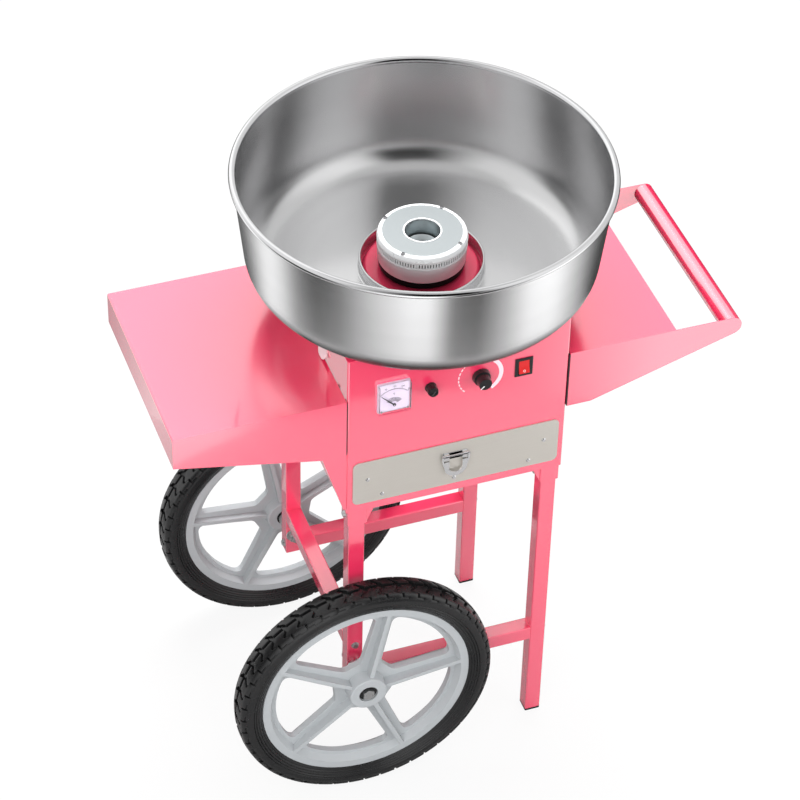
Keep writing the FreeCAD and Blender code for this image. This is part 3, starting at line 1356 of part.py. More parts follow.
def switch_body():
    """Rocker switch: bevelled bezel, body with a well, and four blades behind."""
    front = PANEL_Y - SWITCH_BEZEL_T
    bevel = SWITCH_BEZEL_BEVEL
    wide = SWITCH_W / 2
    tall = SWITCH_H / 2
    bezel = box(SWITCH_X - wide, SWITCH_X + wide, front, PANEL_Y, CONTROL_Z - tall, CONTROL_Z + tall)
    bezel = bezel.makeChamfer(bevel, [edge for edge in bezel.Edges
                                      if edge.BoundBox.YMax < front + bevel])
    wide = SWITCH_BODY_W / 2
    tall = SWITCH_BODY_H / 2
    back = PANEL_Y + SWITCH_BODY_L
    body = box(SWITCH_X - wide, SWITCH_X + wide, PANEL_Y, back, CONTROL_Z - tall, CONTROL_Z + tall)
    blades = [box(x - 3, x + 3, back, back + SWITCH_BLADE_L, z - 0.4, z + 0.4)
              for x in (SWITCH_X - wide / 2, SWITCH_X + wide / 2)
              for z in (CONTROL_Z - tall / 2, CONTROL_Z + tall / 2)]
    wide = ROCKER_W / 2 + ROCKER_ROOM
    tall = ROCKER_H / 2 + 2 * ROCKER_ROOM + SWITCH_FIT
    well = box(SWITCH_X - wide, SWITCH_X + wide, front, PANEL_Y + ROCKER_DEPTH,
               CONTROL_Z - tall, CONTROL_Z + tall)
    pin = rod(ROCKER_PIN_R + RUNNING, V(SWITCH_X - wide - 1.5, ROCKER_Y, CONTROL_Z),
              V(SWITCH_X + wide + 1.5, ROCKER_Y, CONTROL_Z))
    return union([bezel, body] + blades).cut([well, pin])


def switch_rocker():
    """The rocker: a shallow V seen from the side, with a pin at each end."""
    half = ROCKER_W / 2
    tall = ROCKER_H / 2
    front = PANEL_Y - SWITCH_BEZEL_T - ROCKER_PROUD
    deep = ROCKER_Y + ROCKER_PIVOT / 2
    face = rounded_face([(deep - 3, -tall), (front, -tall, 1), (front + ROCKER_PROUD, 0, 8),
                         (front, tall, 1), (deep - 3, tall), (deep, ROCKER_PIN_R * 2),
                         (deep, -ROCKER_PIN_R * 2)],
                        lambda a, b: V(SWITCH_X - half, a, CONTROL_Z + b))
    reach = half + ROCKER_ROOM + 1
    pin = rod(ROCKER_PIN_R, V(SWITCH_X - reach, ROCKER_Y, CONTROL_Z),
              V(SWITCH_X + reach, ROCKER_Y, CONTROL_Z))
    rocker = face.extrude(V(ROCKER_W, 0, 0)).fuse(pin)
    rocker.rotate(V(SWITCH_X, ROCKER_Y, CONTROL_Z), V(1, 0, 0), -ROCKER_TILT)
    return rocker


# ---------------------------------------------------------------------------
# Bowl and its clips
# ---------------------------------------------------------------------------

def bowl():
    """Spun basin: raised collar round the centre hole, wide fillet, rolled rim."""
    t = BOWL_SHEET
    low = BOWL_FLOOR
    collar = BOWL_COLLAR_R
    fold = BOWL_COLLAR_FILLET
    shell = turned([(collar - t, BOWL_COLLAR_TOP), (collar - t, low, fold),
                    (BOWL_FOOT_R, low, BOWL_FILLET), (BOWL_RIM_R, BOWL_RIM_Z),
                    (BOWL_RIM_R - t, BOWL_RIM_Z), (BOWL_FOOT_R - t, low + t, BOWL_FILLET - t),
                    (collar, low + t, fold - t), (collar, BOWL_COLLAR_TOP)])
    up = V(0, 0, 1)
    bead = Part.makeTorus(BOWL_RIM_R, BOWL_BEAD_R, V(0, 0, BOWL_RIM_Z), up)
    collar_bead = Part.makeTorus(collar - t / 2, BOWL_COLLAR_BEAD, V(0, 0, BOWL_COLLAR_TOP), up)
    inner = CAB_X + FACE_GAP
    lug = box(inner, inner + LUG_T, CLIP_Y - LUG_W / 2, CLIP_Y + LUG_W / 2,
              low - LUG_DROP, low + t / 2)
    return shell.fuse([bead, collar_bead, lug, mirrored_x(lug)]).removeSplitter()


def bowl_clips():
    """Spring clips on the cabinet sides that bear on the bowl's two lugs."""
    wall = CAB_X
    hold = CAB_X + 2 * FACE_GAP + LUG_T
    low = SHELF_TOP + CLIP_OVER_SHELF
    flare = low + CLIP_FLARE
    step = BOWL_FLOOR - LUG_DROP - CLIP_STEP
    high = BOWL_FLOOR - CLIP_TOP_ROOM
    t = CLIP_T
    strip = rounded_face([(wall, flare + t), (wall, step - CLIP_STEP), (hold, step), (hold, high),
                          (hold + t, high), (hold + t, step - t), (wall + t, step - CLIP_STEP - t),
                          (wall + t, flare), (wall + CLIP_STAND, low),
                          (wall + CLIP_STAND - t, low)], at_y(CLIP_Y - CLIP_W / 2))
    outline = rounded_face([(CLIP_Y - CLIP_W / 2, low, CLIP_CORNER), (CLIP_Y + CLIP_W / 2, low, CLIP_CORNER),
                            (CLIP_Y + CLIP_W / 2, high), (CLIP_Y - CLIP_W / 2, high)], at_x(wall))
    clip = strip.extrude(V(0, CLIP_W, 0)).common(outline.extrude(V(CLIP_STAND + t, 0, 0)))
    return group([mirrored_x(clip), clip])


# ---------------------------------------------------------------------------
# Spinner head
# ---------------------------------------------------------------------------

def head_screw_places():
    places = []
    for i in range(4):
        turn = math.radians(HEAD_SCREW_PHASE + 90 * i)
        places.append((HEAD_SCREW_RING * math.cos(turn), HEAD_SCREW_RING * math.sin(turn)))
    return places


def head_pillars(radius, low, high):
    """An upright bar at each of the head's screws."""
    return [rod(radius, V(x, y, low), V(x, y, high)) for x, y in head_screw_places()]


def head_base():
    """Cast pan: floor, hub boss on the spindle, outer wall and four screw posts."""
    low = HEAD_FLOOR_Z
    top = HEAD_PAN_TOP
    r = HEAD_R - HEAD_PAN_INSET
    slant = HEAD_WALL / 2
    boss = SHAFT_R + HEAD_BOSS_WALL
    pan = turned([(SHAFT_R, low), (r - slant, low, slant), (r, HEAD_BAND_LOW),
                  (r - HEAD_WALL, HEAD_BAND_LOW), (r - HEAD_WALL - slant, top, slant),
                  (boss, top, slant), (boss - slant, SHAFT_TOP), (SHAFT_R, SHAFT_TOP)])
    posts = head_pillars(HEAD_POST_R, top - slant, HEAD_BAND_TOP)
    holes = head_pillars(SCREW_SHANK_R, top, HEAD_BAND_TOP)
    return pan.fuse(posts).cut(holes).removeSplitter()


def head_band():
    """The slotted band that the melted sugar flies out through."""
    outer = HEAD_R - HEAD_BAND_INSET
    inner = outer - HEAD_BAND_T
    band = turned([(inner, HEAD_BAND_LOW), (outer, HEAD_BAND_LOW), (outer, HEAD_BAND_TOP),
                   (inner, HEAD_BAND_TOP)])
    slot = box(inner - 1, outer + 1, -HEAD_SLOT_W / 2, HEAD_SLOT_W / 2,
               HEAD_BAND_LOW + HEAD_SLOT_MARGIN, HEAD_BAND_TOP - HEAD_SLOT_MARGIN)
    slots = around(slot, HEAD_SLOTS, V(0, 0, 0), V(0, 0, 1), 180.0 / HEAD_SLOTS)
    return band.cut(head_pillars(HEAD_POST_R + FACE_GAP, HEAD_BAND_LOW, HEAD_BAND_TOP)).cut(slots)


def head_cap():
    """Top plate with a bevelled edge, the sugar hole's raised lip and its funnel tube."""
    under = HEAD_TOP - HEAD_CAP_T
    inner = HEAD_R - HEAD_CAP_RIM
    hole = SUGAR_HOLE_R
    lip = hole + SUGAR_LIP_W
    lip_top = HEAD_TOP + SUGAR_LIP_H
    throat = hole + SUGAR_THROAT_T
    throat_end = HEAD_TOP - SUGAR_THROAT_L
    cap = turned([(hole, throat_end), (throat, throat_end), (throat, under), (inner, under),
                  (inner, HEAD_BAND_TOP), (HEAD_R, HEAD_BAND_TOP), (HEAD_R, HEAD_TOP - HEAD_BEVEL),
                  (HEAD_R - HEAD_BEVEL, HEAD_TOP), (lip, HEAD_TOP), (lip - 1, lip_top, 1),
                  (hole + 1, lip_top, 1), (hole, HEAD_TOP)])
    pads = head_pillars(HEAD_POST_R, HEAD_BAND_TOP, HEAD_TOP - HEAD_CAP_T / 2)
    holes = head_pillars(SCREW_SHANK_R + SCREW_FIT, HEAD_BAND_TOP, HEAD_TOP)
    return cap.fuse(pads).cut(holes).removeSplitter()


def head_screws():
    return group([screw(V(x, y, HEAD_TOP), V(0, 0, -1), HEAD_SCREW_L)
                  for x, y in head_screw_places()])


def head_insulator():
    """Black insulating disc under the pan, round the spindle."""
    chamfer = INSULATOR_INSET
    return turned([(SHAFT_R, INSULATOR_LOW), (INSULATOR_R - chamfer, INSULATOR_LOW, 2),
                   (INSULATOR_R, HEAD_FLOOR_Z - chamfer / 2), (INSULATOR_R, HEAD_FLOOR_Z),
                   (SHAFT_R, HEAD_FLOOR_Z)])


def heating_ring():
    """Tubular element inside the band, on two stays from the pan."""
    z = HEAD_BAND_LOW + HEAD_BAND_H / 2
    up = V(0, 0, 1)
    ring = Part.makeTorus(HEATER_R, HEATER_TUBE_R, V(0, 0, z), up)
    stay = rod(HEATER_STAY_R, V(HEATER_R, 0, HEAD_PAN_TOP), V(HEATER_R, 0, z))
    return ring.fuse(around(stay, 2, V(0, 0, 0), up, HEAD_SCREW_PHASE + 45)).removeSplitter()


# ---------------------------------------------------------------------------
# Spindle drive
# ---------------------------------------------------------------------------

def spindle_shaft():
    """The upright shaft with the nut that holds the head."""
    foot = V(0, 0, SHAFT_LOW)
    top = V(0, 0, SHAFT_TOP)
    return rod(SHAFT_R, foot, top).fuse(hexagon(SHAFT_NUT_R, top, V(0, 0, SHAFT_NUT_H)))


def bearing_housing():
    """Flanged housing between the lid and the deck with a seat for each bearing."""
    top = PLATEAU_UNDER
    low = DECK_TOP
    seat = BEARING_R
    bore = seat - HOUSING_BORE_STEP
    collar = SHAFT_R + DECK_SHAFT_ROOM
    under = top - HOUSING_FLANGE_T
    return turned([(collar, low), (HOUSING_R, low), (HOUSING_R, under, 3),
                   (HOUSING_FLANGE_R, under), (HOUSING_FLANGE_R, top), (seat, top),
                   (seat, top - BEARING_H), (bore, top - BEARING_H),
                   (bore, low + BEARING_SEAT + BEARING_H), (seat, low + BEARING_SEAT + BEARING_H),
                   (seat, low + BEARING_SEAT), (collar, low + BEARING_SEAT)])


def spindle_bearings():
    """Two bearings as plain rings; the shaft turns inside them."""
    rings = []
    for low in (PLATEAU_UNDER - BEARING_H, DECK_TOP + BEARING_SEAT):
        rings.append(tube(BEARING_R, SHAFT_R + RUNNING, V(0, 0, low), V(0, 0, low + BEARING_H)))
    return group(rings)


def motor_deck():
    """Folded steel hanger: the deck carries the motor, its sides hang from the lid."""
    x = DECK_HALF_X
    t = DECK_SIDE_T
    back = DECK_BACK - TUBE_CORNER
    deck = box(-x, x, DECK_FRONT, DECK_BACK, DECK_Z, DECK_TOP)
    side = box(x - t, x, DECK_SIDE_FRONT, back, DECK_Z, LID_UNDER)
    foot = box(x - t, x + DECK_FOOT_W, DECK_SIDE_FRONT, back, LID_UNDER - t, LID_UNDER)
    shape = union([deck, side, foot, mirrored_x(side), mirrored_x(foot)])
    room = [rod(PLATEAU_FOOT_R + t, V(0, 0, LID_UNDER - t), V(0, 0, LID_UNDER)),
            rod(SHAFT_R + DECK_SHAFT_ROOM, V(0, 0, DECK_Z), V(0, 0, DECK_TOP)),
            rod(MOTOR_SHAFT_R + DECK_SHAFT_ROOM, V(0, MOTOR_Y, DECK_Z), V(0, MOTOR_Y, DECK_TOP))]
    return shape.cut(room).removeSplitter()


def motor_body():
    """Round motor standing on the deck: waisted stator between two end covers."""
    low = DECK_TOP
    r = MOTOR_R
    waist = r - MOTOR_WAIST
    bore = MOTOR_SHAFT_R + RUNNING
    end = MOTOR_TOP - MOTOR_SHAFT_ROOM + FACE_GAP
    return turned([(bore, low), (r, low, 2), (r, low + MOTOR_CAP_H),
                   (waist, low + MOTOR_CAP_H + MOTOR_WAIST),
                   (waist, MOTOR_TOP - MOTOR_CAP_H - MOTOR_WAIST), (r, MOTOR_TOP - MOTOR_CAP_H),
                   (r, MOTOR_TOP, MOTOR_CAP_BEND), (0, MOTOR_TOP), (0, end), (bore, end)],
                  0, MOTOR_Y)


def v_pulley(radius, y):
    """A grooved wheel on the belt line; radius is at the bottom of the groove."""
    half = PULLEY_H / 2
    lip = BELT_H / 2 + PULLEY_TAPER + FACE_GAP
    floor = lip - PULLEY_TAPER
    rim = radius + PULLEY_FLANGE
    return turned([(0, PULLEY_Z - half), (rim, PULLEY_Z - half, 0.8), (rim, PULLEY_Z - lip),
                   (radius, PULLEY_Z - floor), (radius, PULLEY_Z + floor), (rim, PULLEY_Z + lip),
                   (rim, PULLEY_Z + half, 0.8), (0, PULLEY_Z + half)], 0, y)


def spindle_pulley():
    bore = rod(SHAFT_R, V(0, 0, PULLEY_Z - PULLEY_H), V(0, 0, PULLEY_Z + PULLEY_H))
    return v_pulley(SPINDLE_PULLEY_R, 0).cut(bore)


def motor_pulley():
    """The motor's shaft with its pulley below the deck."""
    shaft = rod(MOTOR_SHAFT_R, V(0, MOTOR_Y, PULLEY_Z - PULLEY_H / 2),
                V(0, MOTOR_Y, MOTOR_TOP - MOTOR_SHAFT_ROOM))
    return v_pulley(MOTOR_PULLEY_R, MOTOR_Y).fuse(shaft).removeSplitter()


def belt_outline(grow):
    """Closed path round both pulleys: two arcs and their common tangents."""
    small = SPINDLE_PULLEY_R + FACE_GAP + grow
    large = MOTOR_PULLEY_R + FACE_GAP + grow
    lean = math.asin((large - small) / MOTOR_Y)

    def on(radius, y, turn):
        return radius * math.cos(turn), y + radius * math.sin(turn)

    right = -lean
    left = math.pi + lean
    return path_face([on(small, 0, right),
                      on(small, 0, -math.pi / 2) + on(small, 0, left),
                      on(large, MOTOR_Y, left),
                      on(large, MOTOR_Y, math.pi / 2) + on(large, MOTOR_Y, right)],
                     at_z(PULLEY_Z - BELT_H / 2))


def drive_belt():
    height = V(0, 0, BELT_H)
    return belt_outline(BELT_T).extrude(height).cut(belt_outline(0).extrude(height))


def slip_rings():
    """Two copper rings on an insulating sleeve at the foot of the spindle."""
    pieces = [tube(SLEEVE_R, SHAFT_R, V(0, 0, SLEEVE_LOW), V(0, 0, SLEEVE_TOP))]
    for low in (RING_LOW, RING_LOW + RING_SPACE):
        pieces.append(tube(RING_R, SLEEVE_R, V(0, 0, low), V(0, 0, low + RING_H)))
    return group(pieces)


def brush_holder():
    """Insulating block hung from the deck, with a carbon brush for each ring."""
    near = RING_R + BRUSH_GAP
    far = near + BRUSH_BLOCK
    half = BRUSH_BLOCK / 2
    block = box(near, far, -half, half, SLEEVE_LOW, SLEEVE_TOP)
    arm = box(far - BRUSH_ARM, far, -half, half, SLEEVE_LOW, DECK_Z)
    foot = box(far - BRUSH_ARM, far + BRUSH_FOOT, -half, half, DECK_Z - DECK_T, DECK_Z)
    shapes = [block, arm, foot]
    for low in (RING_LOW, RING_LOW + RING_SPACE):
        middle = low + RING_H / 2
        shapes.append(box(RING_R + FACE_GAP, near + 1, -BRUSH_W / 2, BRUSH_W / 2,
                          middle - BRUSH_W / 2, middle + BRUSH_W / 2))
    return union(shapes)


# ---------------------------------------------------------------------------
# Write every piece
# ---------------------------------------------------------------------------

def frame_pieces():
    yield "leg_front_left", leg(-LEG_X, -LEG_Y, STRETCHER_LOW)
    yield "leg_back_left", leg(-LEG_X, LEG_Y, STRETCHER_LOW)
    yield "leg_front_right", leg(LEG_X, -LEG_Y, CAP_THICK)
    yield "leg_back_right", leg(LEG_X, LEG_Y, CAP_THICK)
    yield "leg_end_caps", group([end_cap(LEG_X, -LEG_Y), end_cap(LEG_X, LEG_Y)])
    yield "leg_sockets", group([leg_socket(x, y) for x in (-LEG_X, LEG_X) for y in (-LEG_Y, LEG_Y)])
    yield "stretcher_front", stretcher_along_x(-LEG_Y)
    yield "stretcher_back", stretcher_along_x(LEG_Y)
    yield "stretcher_left", stretcher_along_y(-LEG_X)
    yield "frame_bolts", frame_bolts()
    bracket = shelf_bracket()
    yield "shelf_brackets", group([bracket, mirrored_y(bracket)])


def cabinet_pieces():
    yield "base_plate", base_plate()
    yield "cabinet_body", cabinet_body()
    yield "back_panel", back_panel()
    yield "cord_gland", cord_gland()
    yield "top_plate", top_plate()
    yield "shelf_left", shelf_left()
    yield "shelf_right", shelf_right()
    yield "handle_tube", handle_tube()


def wheel_pieces():
    for name, side, phase in (("front", -1, SPOKE_PHASE_FRONT), ("back", 1, SPOKE_PHASE_BACK)):
        yield "wheel_" + name, wheel(side, phase)
        yield "tyre_" + name, tyre(side)
        yield "hub_bushes_" + name, hub_bushes(side)
    yield "axle_bolts", group([axle_bolt(-1), axle_bolt(1)])
    yield "axle_nuts", group(axle_hardware(-1) + axle_hardware(1))


def drawer_pieces():
    yield "drawer_front", drawer_front()
    yield "drawer_screws", drawer_screws()
    yield "drawer_box", drawer_box()
    yield "drawer_runners", drawer_runners()
    yield "pull_plate", pull_plate()
    yield "ring_pull", ring_pull()


def control_pieces():
    yield "voltmeter_case", voltmeter_case()
    yield "voltmeter_cover", voltmeter_cover()
    yield "voltmeter_needle", voltmeter_needle()
    yield "fuse_holder", fuse_holder()
    yield "fuse_cap", fuse_cap()
    yield "regulator_body", regulator_body()
    yield "regulator_knob", regulator_knob()
    yield "switch_body", switch_body()
    yield "switch_rocker", switch_rocker()


def bowl_and_head_pieces():
    yield "bowl", bowl()
    yield "bowl_clips", bowl_clips()
    yield "head_base", head_base()
    yield "head_band", head_band()
    yield "head_cap", head_cap()
    yield "head_screws", head_screws()
    yield "head_insulator", head_insulator()
    yield "heating_ring", heating_ring()


def drive_pieces():
    yield "spindle_shaft", spindle_shaft()
    yield "spindle_pulley", spindle_pulley()
    yield "slip_rings", slip_rings()
    yield "bearing_housing", bearing_housing()
    yield "spindle_bearings", spindle_bearings()
    yield "motor_deck", motor_deck()
    yield "motor_body", motor_body()
    yield "motor_pulley", motor_pulley()
    yield "drive_belt", drive_belt()
    yield "brush_holder", brush_holder()


def main():
    os.makedirs("parts", exist_ok=True)
    for family in (frame_pieces, cabinet_pieces, wheel_pieces, drawer_pieces, control_pieces,
                   bowl_and_head_pieces, drive_pieces):
        for node, shape in family():
            save(node, shape)


main()
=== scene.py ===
"""Electric cotton candy cart: the visible pieces and finishes over its packed frame, in metres."""

import json
import math

import bpy
from bpy.props import FloatProperty, FloatVectorProperty, IntProperty, PointerProperty
from mathutils import Matrix, Vector

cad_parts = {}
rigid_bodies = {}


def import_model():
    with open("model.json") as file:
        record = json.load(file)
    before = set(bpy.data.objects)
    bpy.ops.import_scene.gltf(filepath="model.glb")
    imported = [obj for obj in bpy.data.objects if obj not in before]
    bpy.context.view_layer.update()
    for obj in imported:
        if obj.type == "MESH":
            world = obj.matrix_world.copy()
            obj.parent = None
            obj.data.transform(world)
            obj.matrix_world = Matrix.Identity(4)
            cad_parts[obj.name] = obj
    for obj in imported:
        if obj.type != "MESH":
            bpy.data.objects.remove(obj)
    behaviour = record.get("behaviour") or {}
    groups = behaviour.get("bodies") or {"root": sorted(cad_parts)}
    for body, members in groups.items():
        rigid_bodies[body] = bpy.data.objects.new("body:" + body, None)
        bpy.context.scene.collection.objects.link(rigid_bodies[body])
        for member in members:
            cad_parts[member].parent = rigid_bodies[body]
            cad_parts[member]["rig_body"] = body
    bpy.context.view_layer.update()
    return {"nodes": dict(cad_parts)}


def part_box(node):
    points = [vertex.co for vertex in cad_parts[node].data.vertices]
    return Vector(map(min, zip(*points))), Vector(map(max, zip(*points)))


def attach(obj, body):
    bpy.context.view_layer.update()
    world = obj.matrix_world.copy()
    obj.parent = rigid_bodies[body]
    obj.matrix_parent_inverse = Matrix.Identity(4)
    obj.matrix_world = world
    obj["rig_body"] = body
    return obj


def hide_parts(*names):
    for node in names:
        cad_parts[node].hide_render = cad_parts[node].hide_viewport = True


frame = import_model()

bl_info = {
    "name": "Cotton Candy Cart",
    "version": (1, 0, 0),
    "blender": (4, 5, 0),
    "location": "3D View > Sidebar > Cart",
    "description": "Builds the visible pieces, finishes and studio of an electric cotton candy cart",
    "category": "Object",
}

NODES = frame["nodes"]
BODY_OF = {node: piece["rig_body"] for node, piece in NODES.items()}

# axis through a spun piece: the way its radius starts and the way along it
SPIN_WAYS = {"Y": (Vector((1, 0, 0)), Vector((0, 1, 0))),
             "Z": (Vector((1, 0, 0)), Vector((0, 0, 1)))}

MERGE = 0.000001             # points closer than this are one
PRINT = 0.0001               # thickness of printed marks


# ---------------------------------------------------------------------------
# Places taken from the frame
# ---------------------------------------------------------------------------

def middle(node):
    """Centre of a node's box."""
    low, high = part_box(node)
    return (low + high) / 2


def axis_of(node):
    """Foot of the upright line through a node's centre."""
    centre = middle(node)
    return Vector((centre.x, centre.y, 0.0))


def front_of(node):
    """The y of a node's front face."""
    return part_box(node)[0].y


def compass(azimuth, elevation):
    """Unit vector at an azimuth from the front and a height angle."""
    flat = math.cos(elevation)
    return Vector((math.sin(azimuth) * flat, -math.cos(azimuth) * flat, math.sin(elevation)))


# ---------------------------------------------------------------------------
# Modelling by hand tools
# ---------------------------------------------------------------------------

def nothing_selected():
    if bpy.context.mode != "OBJECT":
        bpy.ops.object.mode_set(mode="OBJECT")
    bpy.ops.object.select_all(action="DESELECT")


def pick(*pieces):
    nothing_selected()
    for piece in pieces:
        piece.select_set(True)
    bpy.context.view_layer.objects.active = pieces[0]


def open_mesh(piece):
    """Enters edit mode with the whole piece selected."""
    pick(piece)
    bpy.ops.object.mode_set(mode="EDIT")
    bpy.ops.mesh.select_all(action="SELECT")


def close_mesh():
    bpy.ops.object.mode_set(mode="OBJECT")


def push(way):
    """Extrudes what is selected along a vector."""
    bpy.ops.mesh.extrude_region_move(TRANSFORM_OT_translate={"value": tuple(way)})


def named(name):
    """Names the piece that was just added."""
    piece = bpy.context.object
    piece.name = name
    piece.data.name = name
    return piece


def settle(piece):
    """Moves the piece's place into its mesh, so the object sits at the origin."""
    pick(piece)
    bpy.ops.object.transform_apply(location=True, rotation=True, scale=True)
    return piece


def tidy_mesh(piece):
    """Joins doubled points and turns every face outwards."""
    open_mesh(piece)
    bpy.ops.mesh.remove_doubles(threshold=MERGE)
    bpy.ops.mesh.normals_make_consistent(inside=False)
    close_mesh()
    return piece


def smooth(piece, degrees=30.0):
    pick(piece)
    bpy.ops.object.shade_smooth_by_angle(angle=math.radians(degrees))
    return piece


def apply_modifier(piece, kind, **settings):
    """Adds a modifier with these settings and applies it."""
    modifier = piece.modifiers.new(kind.title(), kind)
    for key, value in settings.items():
        setattr(modifier, key, value)
    pick(piece)
    bpy.ops.object.modifier_apply(modifier=modifier.name)
    return piece


def soften(piece, width, segments=2, degrees=30.0):
    """Rounds every edge sharper than the angle."""
    return apply_modifier(piece, "BEVEL", width=width, segments=segments, limit_method="ANGLE",
                          angle_limit=math.radians(degrees), use_clamp_overlap=True)


def joined(name, pieces):
    """Joins pieces into the first one."""
    pick(*pieces)
    if len(pieces) > 1:
        bpy.ops.object.join()
    return named(name)


def copied(piece, name, move=Matrix.Identity(4)):
    """A copy with its own mesh, placed by the matrix."""
    twin = piece.copy()
    twin.data = piece.data.copy()
    twin.name = name
    twin.data.name = name
    bpy.context.collection.objects.link(twin)
    twin.data.transform(move)
    return twin


def rounded(corners, steps=8):
    """Points of an outline whose corners (a, b, radius) are rounded by arcs."""
    points = []
    for i, corner in enumerate(corners):
        here = Vector(corner[:2])
        radius = corner[2] if len(corner) > 2 else 0.0
        if radius <= 0 or i in (0, len(corners) - 1):
            points.append(tuple(here))
            continue
        back = (Vector(corners[i - 1][:2]) - here).normalized()
        onward = (Vector(corners[i + 1][:2]) - here).normalized()
        half = back.angle(onward) / 2
        centre = here + (back + onward).normalized() * radius / math.sin(half)
        start = (here + back * radius / math.tan(half) - centre).normalized()
        end = (here + onward * radius / math.tan(half) - centre).normalized()
        points += [tuple(centre + start.slerp(end, k / steps) * radius) for k in range(steps + 1)]
    return points


def circle_points(a, b, radius, steps):
    """Points of a closed circle, the first one repeated at the end."""
    return [(a + radius * math.cos(2 * math.pi * k / steps), b + radius * math.sin(2 * math.pi * k / steps))
            for k in range(steps + 1)]


def drawn_line(name, points):
    """One point, extruded on from place to place, left open in edit mode."""
    nothing_selected()
    bpy.ops.mesh.primitive_plane_add(size=0.01, location=points[0])
    piece = named(name)
    bpy.ops.object.mode_set(mode="EDIT")
    bpy.ops.mesh.merge(type="CENTER")
    for a, b in zip(points, points[1:]):
        push(Vector(b) - Vector(a))
    bpy.ops.mesh.select_all(action="SELECT")
    return piece


def closed(piece):
    """Leaves edit mode with the piece's place in its mesh and its faces outwards."""
    close_mesh()
    return tidy_mesh(settle(piece))


def turned(name, outline, centre, axis="Z", steps=64):
    """Spins an outline of (radius, distance along the axis) points round an axis."""
    out, along = SPIN_WAYS[axis]
    centre = Vector(centre)
    piece = drawn_line(name, [centre + out * r + along * h for r, h in outline])
    bpy.ops.mesh.spin(steps=steps, angle=math.radians(360.0), center=centre, axis=along)
    return closed(piece)


def slab(name, outline, thickness):
    """A flat face through the outline's points, extruded by the thickness vector."""
    piece = drawn_line(name, outline)
    bpy.ops.mesh.edge_face_add()
    push(thickness)
    return closed(piece)


def block(name, low, high):
    """A box between two corners."""
    low, high = Vector(low), Vector(high)
    nothing_selected()
    bpy.ops.mesh.primitive_cube_add(size=1.0, location=(low + high) / 2)
    piece = named(name)
    piece.scale = high - low
    return settle(piece)


def printed_arc(name, centre, inner, outer, start, end, steps=48):
    """A thin printed arc facing the front; angles run clockwise from upright, in degrees."""
    way = Vector((math.sin(math.radians(start)), 0, math.cos(math.radians(start))))
    piece = drawn_line(name, [centre + way * inner, centre + way * outer])
    bpy.ops.mesh.spin(steps=steps, angle=math.radians(end - start), center=centre, axis=(0, -1, 0))
    bpy.ops.mesh.select_all(action="SELECT")
    push((0, -PRINT, 0))
    return closed(piece)


def printed_text(name, words, size, centre):
    """Thin raised figures facing the front, centred on a point."""
    nothing_selected()
    bpy.ops.object.text_add(location=(0, 0, 0))
    letters = named(name)
    letters.data.body = words
    letters.data.size = size
    letters.data.align_x = "CENTER"
    letters.data.align_y = "CENTER"
    letters.data.extrude = PRINT / 2
    pick(letters)
    bpy.ops.object.convert(target="MESH")
    letters = named(name)
    letters.data.transform(Matrix.Translation(centre) @ Matrix.Rotation(math.pi / 2, 4, "X"))
    return letters


def printed_on(piece, name, words, size, x, z):
    """Thin raised figures laid on the piece's front at this place, leaning as it leans."""
    bpy.context.view_layer.update()
    met, place, normal, _ = piece.ray_cast(Vector((x, -1.0, z)), Vector((0, 1, 0)))
    if not met:
        raise RuntimeError(name + " has no surface behind it")
    letters = printed_text(name, words, size, Vector((0, 0, 0)))
    lean = Vector((0, -1, 0)).rotation_difference(normal).to_matrix().to_4x4()
    letters.data.transform(Matrix.Translation(place + normal * PRINT / 2) @ lean)
    return letters


def bar_on_front(name, x, y, z, length, width, degrees, height=0.0004):
    """A short raised bar facing the front; its turn runs clockwise from upright."""
    bar = block(name, (-width / 2, -height, -length / 2), (width / 2, 0.0, length / 2))
    bar.data.transform(Matrix.Translation((x, y, z)) @ Matrix.Rotation(math.radians(degrees), 4, "Y"))
    return bar


def finished_copy(node, name, rounding=0.0, segments=2, degrees=30.0):
    """The node's own form with its triangles joined, its edges eased and its rounds smooth."""
    piece = bpy.data.objects.new(name, NODES[node].data.copy())
    piece.data.name = name
    bpy.context.collection.objects.link(piece)
    pick(piece)
    bpy.ops.mesh.customdata_custom_splitnormals_clear()
    open_mesh(piece)
    bpy.ops.mesh.remove_doubles(threshold=MERGE)
    bpy.ops.mesh.dissolve_limited(angle_limit=math.radians(0.2))
    close_mesh()
    if rounding:
        soften(piece, rounding, segments, degrees)
    smooth(piece, degrees)
    return apply_modifier(piece, "WEIGHTED_NORMAL", keep_sharp=True)


def carried_by(piece, material, node):
    """Gives a piece its finish and the body of the node that carries it."""
    piece.data.materials.clear()
    piece.data.materials.append(material)
    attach(piece, BODY_OF[node])
    return piece


def stands_for(piece, material, node):
    """Gives a piece its finish and its body, and shows it in place of the node."""
    carried_by(piece, material, node)
    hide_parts(node)
    return piece


def dress(node, name, material, *rounding):
    """Shows a finished copy of the node in its place."""
    return stands_for(finished_copy(node, name, *rounding), material, node)


def coat_nodes(material, *nodes):
    """Gives nodes whose shape is right a finish in their own slots."""
    for node in nodes:
        for slot in NODES[node].material_slots:
            slot.material = material


# ---------------------------------------------------------------------------
# Shader nodes and shared surface effects
# ---------------------------------------------------------------------------

def feed(tree, socket, value):
    """Links a socket to another node's socket, or sets its value; a colour needs no alpha."""
    if isinstance(value, bpy.types.NodeSocket):
        tree.links.new(value, socket)
    elif socket.type == "RGBA":
        socket.default_value = (*value[:3], 1.0)
    else:
        socket.default_value = value


